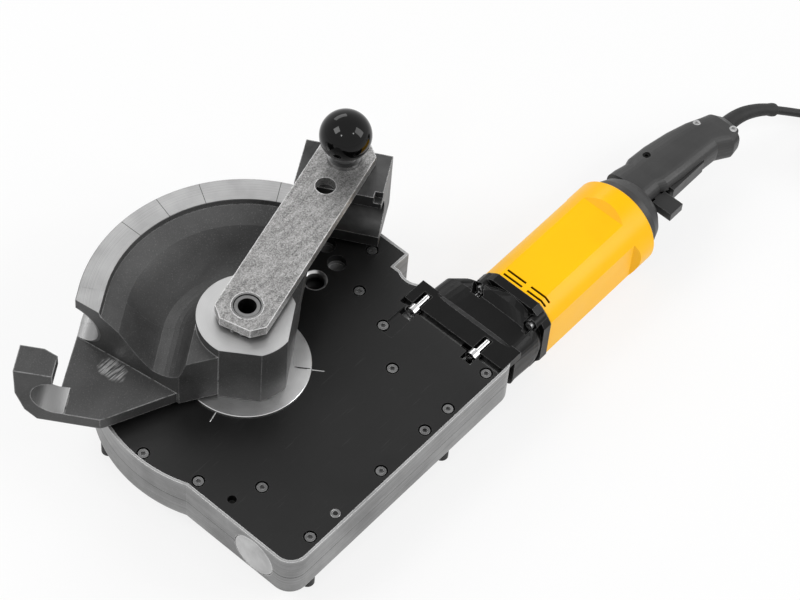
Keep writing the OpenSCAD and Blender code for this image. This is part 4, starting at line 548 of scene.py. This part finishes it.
def cast_skin_group():
    """Sand-cast or moulded skin: a slow change of tone, and a grainy height."""
    tree, given, out = shader_tree("cast_skin", [("Grain", 900.0), ("Tone Scale", 18.0)],
                                   ["Tone", "Height"])
    place = put(tree, "ShaderNodeTexCoord").outputs["Object"]
    slow = put(tree, "ShaderNodeTexNoise", {
        "Vector": place, "Scale": given["Tone Scale"], "Detail": 5.0, "Roughness": 0.6,
        "Distortion": 0.3})
    fine = put(tree, "ShaderNodeTexNoise", {
        "Vector": place, "Scale": given["Grain"], "Detail": 3.0, "Roughness": 0.55})
    pits = put(tree, "ShaderNodeTexVoronoi", {
        "Vector": place, "Scale": times(tree, given["Grain"], 0.6)})
    rough = plus(tree, fine.outputs["Fac"], times(tree, pits.outputs["Distance"], 0.5))
    tree.links.new(slow.outputs["Fac"], out["Tone"])
    tree.links.new(rough, out["Height"])
    return tree


def turned_rings_group():
    """Fine rings that a lathe leaves, round an axis along the Z of the vector given."""
    tree, given, out = shader_tree("turned_rings", [("Pitch", 2500.0)], ["Tone", "Height"])
    vector = tree.interface.new_socket("Vector", in_out="INPUT", socket_type="NodeSocketVector")
    given = next(n for n in tree.nodes if n.type == "GROUP_INPUT").outputs
    part = put(tree, "ShaderNodeSeparateXYZ", {"Vector": given[vector.name]}).outputs
    radius = distance(tree, part["X"], part["Y"])
    line = times(tree, plus(tree, radius, times(tree, part["Z"], 0.83)), given["Pitch"])
    rings = put(tree, "ShaderNodeTexNoise", {"W": line, "Scale": 1.0, "Detail": 3.0},
                noise_dimensions="1D")
    slow = put(tree, "ShaderNodeTexNoise", {"Vector": given[vector.name], "Scale": 60.0, "Detail": 3.0})
    tone = plus(tree, times(tree, rings.outputs["Fac"], 0.6), times(tree, slow.outputs["Fac"], 0.4))
    tree.links.new(tone, out["Tone"])
    tree.links.new(rings.outputs["Fac"], out["Height"])
    return tree


def handling_group():
    """Faint finger marks and scratches, for the roughness of smooth surfaces."""
    tree, given, out = shader_tree("handling", [("Scale", 22.0)], ["Smudge", "Scratch"])
    place = put(tree, "ShaderNodeTexCoord").outputs["Object"]
    smudge = put(tree, "ShaderNodeTexNoise", {
        "Vector": place, "Scale": given["Scale"], "Detail": 4.0, "Roughness": 0.7,
        "Distortion": 1.2})
    stretched = put(tree, "ShaderNodeMapping", {
        "Vector": place, "Rotation": (0.2, 0.3, 0.7), "Scale": (30.0, 900.0, 500.0)})
    lines = put(tree, "ShaderNodeTexNoise", {
        "Vector": stretched.outputs["Vector"], "Scale": 1.0, "Detail": 2.0})
    tree.links.new(ramp(tree, smudge.outputs["Fac"], 0.3, 0.7), out["Smudge"])
    tree.links.new(ramp(tree, lines.outputs["Fac"], 0.68, 0.74), out["Scratch"])
    return tree


edge_wear = edge_wear_group()
cast_skin = cast_skin_group()
turned_rings = turned_rings_group()
handling = handling_group()


def group(tree, shared, **values):
    """A shared group's node in a material; underscores in names stand for spaces."""
    made = put(tree, "ShaderNodeGroup", node_tree=shared)
    for name, value in values.items():
        socket = made.inputs[name.replace("_", " ")]
        if isinstance(value, bpy.types.NodeSocket):
            tree.links.new(value, socket)
        else:
            socket.default_value = value
    return made.outputs


def tint(level, warm=0.0):
    """A grey by its value on the screen, 0 to 255, a little warmer or cooler."""
    value = (level / 255) ** 2.2
    return (value * (1 + warm), value, value * (1 - warm), 1)


def from_screen(red, green, blue):
    """A colour by its red, green and blue on the screen, 0 to 255."""
    return tuple((c / 255) ** 2.2 for c in (red, green, blue)) + (1,)


def blend_colour(tree, share, first, second):
    """A colour between two, each a colour or the socket that feeds it."""
    made = put(tree, "ShaderNodeMix", data_type="RGBA")
    for key, value in (("Factor_Float", share), ("A_Color", first), ("B_Color", second)):
        socket = next(s for s in made.inputs if s.identifier == key)
        if isinstance(value, bpy.types.NodeSocket):
            tree.links.new(value, socket)
        else:
            socket.default_value = value
    return next(s for s in made.outputs if s.identifier == "Result_Color")


def blank(name, metallic, coat=0.0, specular=0.5):
    """A new material, its tree, its shader and its Object coordinates."""
    made = bpy.data.materials.new(name)
    made.use_nodes = True
    tree = made.node_tree
    shader = tree.nodes["Principled BSDF"]
    shader.inputs["Metallic"].default_value = metallic
    shader.inputs["Coat Weight"].default_value = coat
    shader.inputs["Coat Roughness"].default_value = 0.12
    shader.inputs["Specular IOR Level"].default_value = specular
    return made, tree, shader, put(tree, "ShaderNodeTexCoord").outputs["Object"]


def marks(tree, radius, x, y, angle, inner, outer):
    """Mask of a short straight mark that points away from the Z axis, at an angle in degrees."""
    a = math.radians(angle)
    on_line = times(tree, within(tree, toward(tree, x, y, a + math.pi / 2), 0.0, MARK_HALF),
                    math_node(tree, "GREATER_THAN", toward(tree, x, y, a), 0.0))
    return times(tree, on_line, within(tree, radius, (inner + outer) / 2, (outer - inner) / 2))


def coordinate(tree, where, axis):
    """X, Y or Z of a place."""
    return put(tree, "ShaderNodeSeparateXYZ", {"Vector": where}).outputs[axis]


def polar(tree, where):
    """X, Y and Z of a place, and its distance from the Z axis."""
    part = put(tree, "ShaderNodeSeparateXYZ", {"Vector": where}).outputs
    return part["X"], part["Y"], part["Z"], distance(tree, part["X"], part["Y"])


def connect(tree, shader, colour, roughness, height=None, depth=0.0001, strength=0.3):
    """Colour, roughness and bump into the shader."""
    tree.links.new(colour, shader.inputs["Base Color"])
    tree.links.new(roughness, shader.inputs["Roughness"])
    if height is not None:
        bump = put(tree, "ShaderNodeBump", {
            "Height": height, "Distance": depth, "Strength": strength})
        tree.links.new(bump.outputs["Normal"], shader.inputs["Normal"])


def skinned(name, light, dark, metallic, rough, grain=900.0, tone=18.0, wear=None, wear_rough=0.3,
            depth=0.0001, strength=0.3, coat=0.0, wear_radius=0.0008, specular=0.5):
    """A cast, moulded or painted finish: grainy skin, slow tone, and edges that may rub bright."""
    made, tree, shader, _ = blank(name, metallic, coat, specular)
    skin = group(tree, cast_skin, Grain=grain, Tone_Scale=tone)
    used = group(tree, handling, Scale=tone * 1.3)
    colour = blend_colour(tree, ramp(tree, skin["Tone"], 0.3, 0.7), dark, light)
    roughness = ramp(tree, used["Smudge"], 0, 1, rough - 0.06, rough + 0.06)
    if wear is not None:
        mask = group(tree, edge_wear, Radius=wear_radius)["Mask"]
        colour = blend_colour(tree, mask, colour, wear)
        roughness = put(tree, "ShaderNodeMix", {"Factor": mask, "A": roughness, "B": wear_rough},
                        data_type="FLOAT").outputs["Result"]
    connect(tree, shader, colour, roughness, skin["Height"], depth, strength)
    return made


def turned(name, light, dark, rough, place=(0, 0, 0), lie=(0, 0, 0), pitch=2500.0, strength=0.25):
    """A machined metal with the rings of a lathe about an axis through place."""
    made, tree, shader, where = blank(name, 1.0)
    centred = put(tree, "ShaderNodeMapping", {"Vector": where, "Location": place, "Rotation": lie})
    rings = group(tree, turned_rings, Pitch=pitch, Vector=centred.outputs["Vector"])
    used = group(tree, handling)
    colour = blend_colour(tree, ramp(tree, rings["Tone"], 0.3, 0.7), dark, light)
    roughness = ramp(tree, used["Smudge"], 0, 1, rough - 0.07, rough + 0.07)
    connect(tree, shader, colour, roughness, rings["Height"], 0.00003, strength)
    return made


# Finishes, and the places on the part where they change


def laminated(name):
    """A stack of thin steel sheets, seen as fine lines along X, slightly oiled."""
    made, tree, shader, where = blank(name, 0.85)
    sheets = put(tree, "ShaderNodeTexWave", {
        "Vector": where, "Scale": 320.0, "Distortion": 0.0}, bands_direction="X")
    tone = put(tree, "ShaderNodeTexNoise", {
        "W": times(tree, coordinate(tree, where, "X"), 2000.0), "Scale": 1.0},
        noise_dimensions="1D")
    colour = blend_colour(tree, tone.outputs["Fac"], tint(58), tint(122))
    connect(tree, shader, colour, ramp(tree, tone.outputs["Fac"], 0, 1, 0.34, 0.5),
            sheets.outputs["Fac"], 0.0002, 0.5)
    return made


def segmented(name):
    """Commutator: copper bars round the motor axis with dark mica between them."""
    made, tree, shader, where = blank(name, 0.9)
    centred = put(tree, "ShaderNodeMapping", {
        "Vector": where, "Location": (0, -MOTOR_Y, -MOTOR_Z)})
    part = put(tree, "ShaderNodeSeparateXYZ", {"Vector": centred.outputs["Vector"]})
    angle = math_node(tree, "ARCTAN2", part.outputs["Z"], part.outputs["Y"])
    bar = math_node(tree, "PINGPONG", times(tree, angle, 24 / math.tau), 0.5)
    gap = ramp(tree, bar, 0.03, 0.06)
    used = group(tree, handling, Scale=90.0)
    copper = blend_colour(tree, used["Smudge"], from_screen(150, 82, 50), from_screen(205, 128, 86))
    colour = blend_colour(tree, gap, from_screen(30, 24, 20), copper)
    connect(tree, shader, colour, ramp(tree, used["Smudge"], 0, 1, 0.22, 0.4), gap, 0.0004, 0.5)
    return made


DISC_R = 55.2 * MM
MARK_START = 41 * MM
MARK_END = 66 * MM
MARK_ANGLES = (-54, -163.3)
MARK_HALF = 0.4 * MM
SEAM_Z = -24.5 * MM
SEAM_HALF = 0.45 * MM
HOUSING_R = 43 * MM
HOUSING_FLAT = 37 * MM
VENT_X = 214.5 * MM
NEAR_SCREW_X = 430 * MM
RIM_TOP = 71 * MM
WEB_R = 80 * MM
WEB_HALF = 36.5 * MM
HUB_TOP = 68 * MM
HUB_R = 42.2 * MM
ARM_TOP = 18.6 * MM
BEND_R = 140 * MM
GROOVE_Z = 39 * MM
GROOVE_R = 20.3 * MM
BEND_END = math.radians(122.5)
SCRIBE_ANGLES = (31.0, 59.9, 76.1, 91.4)
SCRIBE_HALF = 0.28 * MM
SCRIBE_START = 114 * MM
PATCH_MIDDLE = (-90 * MM, 66 * MM)
PATCH_HALF = (9 * MM, 13 * MM)


def former_iron():
    """Dark cast skin: rim, hub and groove are machined bright, and a patch of the arm is scuffed."""
    made, tree, shader, where = blank("former_iron", 0.6)
    x, y, z, radius = polar(tree, where)
    rim = within(tree, z, RIM_TOP, 0.6 * MM)
    hub = times(tree, within(tree, z, HUB_TOP, 0.5 * MM),
                math_node(tree, "LESS_THAN", radius, HUB_R))
    beside = toward(tree, x, y, BEND_END)
    lift = minus(tree, z, GROOVE_Z)
    lift_squared = times(tree, lift, lift)
    grooves = []
    for reach in (radius, beside):
        off = minus(tree, reach, BEND_R)
        away = math_node(tree, "SQRT", plus(tree, times(tree, off, off), lift_squared))
        grooves.append(math_node(tree, "LESS_THAN", away, GROOVE_R))
    groove = math_node(tree, "MAXIMUM", *grooves)

    ragged = put(tree, "ShaderNodeTexNoise", {"Vector": where, "Scale": 160.0, "Detail": 4.0})
    squares = []
    for place, middle, half in zip((x, y), PATCH_MIDDLE, PATCH_HALF):
        off = math_node(tree, "DIVIDE", minus(tree, place, middle), half)
        squares.append(math_node(tree, "POWER", math_node(tree, "ABSOLUTE", off), 2.0))
    oval = plus(tree, *squares)
    patch_edge = plus(tree, oval, ramp(tree, ragged.outputs["Fac"], 0.3, 0.7, -0.4, 0.4))
    strokes = put(tree, "ShaderNodeMapping", {
        "Vector": where, "Rotation": (0, 0, math.radians(-38)), "Scale": (50.0, 900.0, 50.0)})
    stroke = put(tree, "ShaderNodeTexNoise", {"Vector": strokes.outputs["Vector"], "Scale": 1.0})
    faded = times(tree, ramp(tree, patch_edge, 1.3, 0.2), ramp(tree, stroke.outputs["Fac"], 0.42, 0.56))
    patch = times(tree, faded, within(tree, z, ARM_TOP, 0.4 * MM))

    skin = group(tree, cast_skin, Grain=1100.0, Tone_Scale=14.0)
    worn = group(tree, edge_wear, Radius=0.0016, Breakup=130.0)["Mask"]
    rings = group(tree, turned_rings, Pitch=1700.0, Vector=where)

    lines = None
    for degrees in SCRIBE_ANGLES:
        off = toward(tree, x, y, math.radians(degrees + 90))
        line = within(tree, off, 0.0, SCRIBE_HALF)
        lines = line if lines is None else math_node(tree, "MAXIMUM", lines, line)
    scribed = times(tree, times(tree, lines, rim),
                    math_node(tree, "GREATER_THAN", radius, SCRIBE_START))

    specks = put(tree, "ShaderNodeTexNoise", {
        "Vector": where, "Scale": 900.0, "Detail": 2.0, "Roughness": 0.6})
    cast = blend_colour(tree, ramp(tree, skin["Tone"], 0.32, 0.68), tint(44), tint(70))
    cast = blend_colour(tree, ramp(tree, specks.outputs["Fac"], 0.58, 0.72, 0.0, 0.4), cast,
                        tint(112))
    bright = blend_colour(tree, ramp(tree, rings["Tone"], 0.3, 0.7), tint(138), tint(166))
    bright = blend_colour(tree, times(tree, hub, 0.5), bright, tint(200))
    machined = math_node(tree, "MAXIMUM", rim, hub)
    web = times(tree, within(tree, radius, WEB_R, WEB_HALF),
                math_node(tree, "GREATER_THAN", z, ARM_TOP + 1 * MM))
    rubbed = times(tree, worn, ramp(tree, web, 0, 1, 0.8, 0.2))
    colour = blend_colour(tree, rubbed, cast, tint(172))
    colour = blend_colour(tree, times(tree, groove, 0.8), colour, tint(150))
    colour = blend_colour(tree, times(tree, patch, 0.85), colour, tint(200))
    colour = blend_colour(tree, machined, colour, bright)
    colour = blend_colour(tree, scribed, colour, tint(70))
    smooth = math_node(tree, "MAXIMUM", machined, math_node(tree, "MAXIMUM", groove, patch))
    roughness = put(tree, "ShaderNodeMix", {
        "Factor": smooth, "A": 0.5, "B": ramp(tree, rings["Tone"], 0.3, 0.7, 0.3, 0.4)},
        data_type="FLOAT").outputs["Result"]
    tree.links.new(ramp(tree, smooth, 0, 1, 0.25, 0.92), shader.inputs["Metallic"])
    rough_height = times(tree, skin["Height"], minus(tree, 1.0, smooth))
    height = plus(tree, rough_height, times(tree, rings["Height"], 0.12))
    connect(tree, shader, colour, roughness, height, 0.00022, 0.4)
    return made


def lever_steel():
    """Rolled flat bar: cloudy grey scale, fine specks, handling marks and bright rubbed edges."""
    made, tree, shader, where = blank("lever_steel", 0.8)
    lie = put(tree, "ShaderNodeMapping", {
        "Vector": where, "Rotation": (0, 0, math.radians(-15.2)), "Scale": (1.0, 3.2, 1.0)})
    cloud = put(tree, "ShaderNodeTexNoise", {
        "Vector": lie.outputs["Vector"], "Scale": 70.0, "Detail": 8.0, "Roughness": 0.78})
    speck = put(tree, "ShaderNodeTexNoise", {
        "Vector": where, "Scale": 800.0, "Detail": 4.0, "Roughness": 0.75})
    used = group(tree, handling, Scale=30.0)
    worn = group(tree, edge_wear, Radius=0.0015, Breakup=300.0)["Mask"]
    tone = plus(tree, times(tree, cloud.outputs["Fac"], 0.4), times(tree, speck.outputs["Fac"], 0.6))
    colour = blend_colour(tree, ramp(tree, tone, 0.4, 0.6), tint(88, 0.01), tint(170, 0.01))
    colour = blend_colour(tree, times(tree, used["Scratch"], 0.6), colour, tint(86))
    colour = blend_colour(tree, worn, colour, tint(240))
    connect(tree, shader, colour, ramp(tree, tone, 0.35, 0.65, 0.52, 0.38),
            speck.outputs["Fac"], 0.00012, 0.35)
    return made


def plate_black():
    """Satin black coat on steel: a faint grain, finger marks and a few hairline scratches."""
    made, tree, shader, where = blank("plate_black", 0.0, specular=0.3)
    skin = group(tree, cast_skin, Grain=1500.0, Tone_Scale=9.0)
    used = group(tree, handling, Scale=11.0)
    worn = group(tree, edge_wear, Radius=0.0005, Breakup=500.0)["Mask"]
    colour = blend_colour(tree, ramp(tree, skin["Tone"], 0.3, 0.7), tint(17), tint(24))
    colour = blend_colour(tree, times(tree, used["Scratch"], 0.12), colour, tint(90))
    colour = blend_colour(tree, times(tree, worn, 0.5), colour, tint(105))
    x, y, _, radius = polar(tree, where)
    scribed = math_node(tree, "MAXIMUM", *(
        marks(tree, radius, x, y, angle, DISC_R, MARK_END) for angle in MARK_ANGLES))
    colour = blend_colour(tree, scribed, colour, tint(214))
    connect(tree, shader, colour, ramp(tree, used["Smudge"], 0, 1, 0.3, 0.44),
            skin["Height"], 0.00004, 0.25)
    return made


def disc_face():
    """Drive disc: bright turned face with the dark half of the near mark."""
    made, tree, shader, where = blank("disc_steel", 0.95)
    x, y, _, radius = polar(tree, where)
    rings = group(tree, turned_rings, Pitch=2200.0, Vector=where)
    colour = blend_colour(tree, ramp(tree, rings["Tone"], 0.3, 0.7), tint(196), tint(224))
    mark = marks(tree, radius, x, y, MARK_ANGLES[0], MARK_START, DISC_R - 1 * MM)
    colour = blend_colour(tree, mark, colour, tint(34))
    connect(tree, shader, colour, ramp(tree, rings["Tone"], 0.3, 0.7, 0.26, 0.38),
            rings["Height"], 0.00003, 0.25)
    return made


def case_metal():
    """Cast light alloy, linished on its walls, with a dark parting line between the two halves."""
    made, tree, shader, where = blank("cast_case", 0.75)
    z = coordinate(tree, where, "Z")
    skin = group(tree, cast_skin, Grain=1300.0, Tone_Scale=14.0)
    used = group(tree, handling, Scale=18.0)
    worn = group(tree, edge_wear, Radius=0.0009, Breakup=300.0)["Mask"]
    lines = put(tree, "ShaderNodeMapping", {"Vector": where, "Scale": (9.0, 9.0, 1100.0)})
    line = put(tree, "ShaderNodeTexNoise", {
        "Vector": lines.outputs["Vector"], "Scale": 1.0, "Detail": 3.0})
    tone = plus(tree, times(tree, skin["Tone"], 0.6), times(tree, line.outputs["Fac"], 0.4))
    colour = blend_colour(tree, ramp(tree, tone, 0.38, 0.62), tint(112), tint(150))
    # Painted light: the walls lighten over their top 4 mm.
    colour = blend_colour(tree, ramp(tree, z, -4 * MM, 0.0, 0.0, 0.3), colour, tint(190))
    colour = blend_colour(tree, times(tree, used["Scratch"], 0.3), colour, tint(196))
    colour = blend_colour(tree, worn, colour, tint(226))
    seam = within(tree, z, SEAM_Z, SEAM_HALF)
    colour = blend_colour(tree, times(tree, seam, 0.85), colour, tint(30))
    connect(tree, shader, colour, ramp(tree, used["Smudge"], 0, 1, 0.34, 0.48),
            plus(tree, skin["Height"], times(tree, line.outputs["Fac"], 0.6)), 0.00008, 0.3)
    return made


def handle_fixing():
    """Plated screws; the one nearest the motor is coloured dark."""
    made, tree, shader, where = blank("handle_fixing", 0.9)
    skin = group(tree, cast_skin, Grain=1600.0, Tone_Scale=60.0)
    plated = blend_colour(tree, ramp(tree, skin["Tone"], 0.3, 0.7), tint(150), tint(200))
    near = math_node(tree, "LESS_THAN", coordinate(tree, where, "X"), NEAR_SCREW_X)
    colour = blend_colour(tree, near, plated, tint(38))
    connect(tree, shader, colour, ramp(tree, skin["Tone"], 0.3, 0.7, 0.24, 0.34),
            skin["Height"], 0.00003, 0.2)
    return made


def housing_yellow():
    """Yellow moulding with a faint grain; the walls of its vent slots are painted dark as shade."""
    made, tree, shader, where = blank("yellow_housing", 0.0, specular=0.2)
    centred = put(tree, "ShaderNodeMapping", {
        "Vector": where, "Location": (-VENT_X, -MOTOR_Y, -MOTOR_Z)})
    part = put(tree, "ShaderNodeSeparateXYZ", {"Vector": centred.outputs["Vector"]}).outputs
    under_round = minus(tree, HOUSING_R, distance(tree, part["Y"], part["Z"]))
    under_flat = minus(tree, HOUSING_FLAT, math_node(tree, "ABSOLUTE", part["Z"]))
    depth = math_node(tree, "MINIMUM", under_round, under_flat)
    near = times(tree, within(tree, part["X"], 0.0, 8 * MM), within(tree, part["Y"], 0.0, 30 * MM))
    # Painted shade: the vent slots' walls darken from 0.2 mm to 0.9 mm under the outer surface.
    painted_slot_shade = times(tree, ramp(tree, depth, 0.2 * MM, 0.9 * MM, 0.0, 0.94), near)
    skin = group(tree, cast_skin, Grain=1500.0, Tone_Scale=10.0)
    used = group(tree, handling, Scale=13.0)
    colour = blend_colour(tree, ramp(tree, skin["Tone"], 0.3, 0.7), from_screen(254, 184, 0),
                          from_screen(255, 193, 0))
    colour = blend_colour(tree, painted_slot_shade, colour, tint(22))
    connect(tree, shader, colour, ramp(tree, used["Smudge"], 0, 1, 0.28, 0.4), skin["Height"],
            0.00003, 0.2)
    return made


def socket_steel():
    """Pin sockets: a bright bored wall, with painted shade that darkens it towards the floor."""
    made, tree, shader, where = blank("socket_steel", 0.9)
    skin = group(tree, cast_skin, Grain=900.0, Tone_Scale=60.0)
    # Painted shade: the bore darkens from 2 mm to 9 mm down.
    shallow = ramp(tree, coordinate(tree, where, "Z"), -9 * MM, -2 * MM)
    colour = blend_colour(tree, shallow, tint(44), tint(188))
    connect(tree, shader, colour, ramp(tree, skin["Tone"], 0, 1, 0.2, 0.4), skin["Height"],
            0.00004, 0.2)
    return made


along_x = (0, math.radians(90), 0)
motor_centre = (MOTOR_Z, -MOTOR_Y, 0)

cast_case = case_metal()
black_casting = skinned("black_casting", tint(16), tint(9), 0.0, 0.34, grain=900.0, tone=20.0,
                        wear=tint(100), depth=0.00012, strength=0.3, specular=0.16)
yellow_paint = housing_yellow()
black_plastic = skinned("black_plastic", tint(60), tint(48), 0.0, 0.42, grain=1900.0, tone=16.0,
                        wear=tint(84), wear_rough=0.36, depth=0.00006, strength=0.35,
                        wear_radius=0.0006, specular=0.35)
switch_plastic = skinned("switch_plastic", tint(40), tint(30), 0.0, 0.34, grain=1500.0, tone=30.0,
                         wear=tint(96), depth=0.00003, strength=0.2, specular=0.35)
knob_plastic = skinned("knob_plastic", tint(8), tint(4), 0.0, 0.07, grain=300.0, tone=24.0,
                       depth=0.00001, strength=0.1, specular=0.22)
soft_rubber = skinned("soft_rubber", tint(42), tint(32), 0.0, 0.62, grain=1300.0, tone=26.0,
                      depth=0.00008, strength=0.4, specular=0.35)
cord_rubber = skinned("cord_rubber", tint(38), tint(28), 0.0, 0.55, grain=1000.0, tone=40.0,
                      depth=0.00006, strength=0.3, specular=0.4)
back_steel = skinned("back_steel", tint(84), tint(50), 0.8, 0.42, grain=520.0, tone=26.0,
                     wear=tint(190), depth=0.00014, strength=0.35, wear_radius=0.0012)
dark_steel = skinned("dark_steel", tint(92), tint(70), 0.9, 0.4, grain=800.0, tone=30.0,
                     wear=tint(150), depth=0.00006, strength=0.25)
screw_steel = skinned("screw_steel", tint(205), tint(160), 1.0, 0.26, grain=1600.0, tone=60.0,
                      wear=tint(235), depth=0.00003, strength=0.2, wear_radius=0.0003)
black_screw = skinned("black_screw", tint(122), tint(88), 0.8, 0.3, grain=1600.0, tone=80.0,
                      wear=tint(190), depth=0.00004, strength=0.25, wear_radius=0.0004)
bronze = turned("bronze", from_screen(214, 160, 88), from_screen(176, 122, 62), 0.32)
bright_steel = turned("bright_steel", tint(225), tint(186), 0.24)
motor_steel = turned("motor_steel", tint(215), tint(170), 0.26, place=motor_centre, lie=along_x)
pressed_brass = skinned("pressed_brass", from_screen(222, 182, 98), from_screen(190, 148, 70), 1.0,
                        0.3, grain=900.0, tone=50.0, wear=from_screen(240, 212, 150),
                        depth=0.00004, strength=0.2)
carbon = skinned("carbon", tint(50), tint(36), 0.2, 0.58, grain=2200.0, tone=90.0, depth=0.00006,
                 strength=0.4)
zinc_plate = skinned("zinc_plate", tint(196), tint(160), 0.95, 0.34, grain=900.0, tone=40.0,
                     wear=tint(225), depth=0.00004, strength=0.2)
strap_nylon = skinned("strap_nylon", tint(54), tint(40), 0.0, 0.5, grain=2400.0, tone=60.0,
                      depth=0.0001, strength=0.5)
lacquered_wire = skinned("lacquered_wire", from_screen(206, 118, 70), from_screen(158, 78, 42), 0.85,
                         0.3, grain=700.0, tone=70.0, depth=0.00004, strength=0.2, coat=0.4)
disc_steel = disc_face()
socket_finish = socket_steel()
handle_finish = handle_fixing()
pin_steel = turned("pin_steel", tint(138), tint(100), 0.3)
former_finish = former_iron()
lever_finish = lever_steel()
plate_finish = plate_black()

finishes = {
    cast_case: ["case_lower", "case_upper"],
    plate_finish: ["top_plate"],
    black_casting: ["motor_adapter"],
    yellow_paint: ["motor_housing"],
    black_plastic: ["rear_cover", "handle_shell_upper", "handle_shell_lower", "cooling_fan"],
    switch_plastic: ["trigger", "direction_lever", "switch_body"],
    knob_plastic: ["ball_knob"],
    soft_rubber: ["feet", "spindle_seal"],
    back_steel: ["back_former"],
    dark_steel: ["wheel_key", "retaining_ring", "trigger_pin"],
    screw_steel: ["adapter_screws", "case_screws", "foot_screws"],
    handle_finish: ["handle_screws"],
    black_screw: ["plate_screws", "motor_screws"],
    bronze: ["spindle_bushes", "worm_wheel_rim", "back_former_bush"],
    bright_steel: ["worm_bearings", "layshaft_bearings", "armature_bearings"],
    zinc_plate: ["bore_plug", "plug_pins", "brush_springs"],
    pin_steel: ["spindle", "lock_pin", "lever_pin_bush", "lever_nose_bush"],
    socket_finish: ["pin_bushes"],
    motor_steel: ["worm_shaft", "worm_shaft_gear", "layshaft", "layshaft_gear", "armature_shaft"],
    pressed_brass: ["brush_holders"],
    carbon: ["brushes"],
    disc_steel: ["drive_disc"],
    former_finish: ["former", "worm_wheel_hub"],
    lever_finish: ["support_lever"],
    laminated("sheet_stack"): ["stator", "armature_core"],
    segmented("commutator_bars"): ["commutator"],
    lacquered_wire: ["field_coils"],
}
for finish_made, names in finishes.items():
    for name in names:
        for slot in nodes[name].material_slots:
            slot.material = finish_made


# Pieces made here: ribs, springs, their finishes and what they stand for

RIBS_ALONG = 29.5 * MM
SPRING_X = 341 * MM
SPRING_OFF = 24.6 * MM

plug_ribs = grown("plug_ribs", ribs_tree(), {
    "Count": 18, "Radius": 16.6 * MM, "Size": (1.9 * MM, 2.6 * MM, 11 * MM),
    "Material": soft_rubber}, plug_at + toward_pins @ Vector((0, 0, RIBS_ALONG)), toward_pins)

spring_wire = spring_tree()
brush_coils = joined("brush_coils", [
    grown("spring", spring_wire, {"Turns": 5.0, "Radius": 2.4 * MM, "Length": 7.2 * MM,
                                  "Wire Radius": 0.33 * MM, "Material": zinc_plate},
          Vector((SPRING_X, MOTOR_Y + off, MOTOR_Z)), Matrix.Rotation(math.radians(lean), 3, "X"))
    for off, lean in ((SPRING_OFF, -90), (-SPRING_OFF, 90))])

for piece, finish_made in (
        (plug_body, soft_rubber), (cord_sleeve, soft_rubber), (mains_cord, cord_rubber),
        (coil_ties[0], strap_nylon), (coil_ties[1], strap_nylon), (brush_coils, zinc_plate),
        (field_windings, lacquered_wire), (row_screw_head, black_screw)):
    piece.data.materials.append(finish_made)

for piece in (plug_body, plug_ribs, cord_sleeve, mains_cord, *coil_ties, brush_coils,
              field_windings, row_screw_head):
    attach(piece, "base")
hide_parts("brush_springs")
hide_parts("field_coils")
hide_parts("plug")
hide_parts("strain_relief")
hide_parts("cord", "cord_coil")


# Floor, light and surroundings


def seen_white(tree):
    """1 on rays that see the background as plain white: the camera's, gloss and glass."""
    path = put(tree, "ShaderNodeLightPath")
    return math_node(tree, "MAXIMUM", path.outputs["Is Camera Ray"], math_node(
        tree, "MAXIMUM", path.outputs["Is Glossy Ray"], path.outputs["Is Transmission Ray"]))


def pale_floor():
    """White floor that keeps a faint shadow of what stands on it."""
    made = bpy.data.materials.new("pale_floor")
    made.use_nodes = True
    tree = made.node_tree
    shader = tree.nodes["Principled BSDF"]
    shader.inputs["Base Color"].default_value = (0.86, 0.86, 0.86, 1)
    shader.inputs["Roughness"].default_value = 0.9
    shader.inputs["Specular IOR Level"].default_value = 0.1
    glow = put(tree, "ShaderNodeEmission", {"Color": (1, 1, 1, 1), "Strength": 1.0})
    share = times(tree, seen_white(tree), 0.8)
    both = put(tree, "ShaderNodeMixShader", {
        0: share, 1: shader.outputs["BSDF"], 2: glow.outputs["Emission"]})
    tree.links.new(both.outputs["Shader"], tree.nodes["Material Output"].inputs["Surface"])
    return made


FLOOR_HALF = 8
FLOOR_GAP = 0.2 * MM
floor = new_piece("floor", [Vector((x * FLOOR_HALF, y * FLOOR_HALF, FLOOR_Z - FLOOR_GAP)) for x, y in
                            ((-1, -1), (1, -1), (1, 1), (-1, 1))], [(0, 1, 2, 3)], smooth=False)
floor.data.materials.append(pale_floor())

world = bpy.data.worlds.new("studio")
bpy.context.scene.world = world
world.use_nodes = True
world_tree = world.node_tree
backdrop = world_tree.nodes["Background"]
backdrop.inputs["Color"].default_value = (1, 1, 1, 1)
world_tree.links.new(ramp(world_tree, seen_white(world_tree), 0, 1, 0.42, 1.0),
                     backdrop.inputs["Strength"])


def soft_light(name, place, aim, size, power):
    """A soft rectangular lamp that points at aim; size in metres, power in watts."""
    data = bpy.data.lights.new(name, "AREA")
    data.shape = "RECTANGLE"
    data.size, data.size_y = size
    data.energy = power
    lamp = linked(name, data)
    lamp.location = place
    lamp.rotation_mode = "QUATERNION"
    lamp.rotation_quaternion = (Vector(aim) - Vector(place)).to_track_quat("-Z", "Y")


soft_light("key", (-1.2, 0.9, 1.9), (0.05, 0, 0), (1.0, 1.0), 24)
soft_light("side", (1.1, -1.5, 1.2), (0.15, -0.05, 0), (0.9, 1.4), 20)
soft_light("back", (0.9, 1.5, 1.2), (0.1, 0, 0), (1.4, 0.6), 10)
soft_light("glint_left", (-1.3, -0.3, 1.6), (0.1, 0, 0), (0.16, 0.24), 2.5)
soft_light("glint_right", (0.2, -1.4, 1.7), (0.1, 0, 0), (0.14, 0.2), 2)
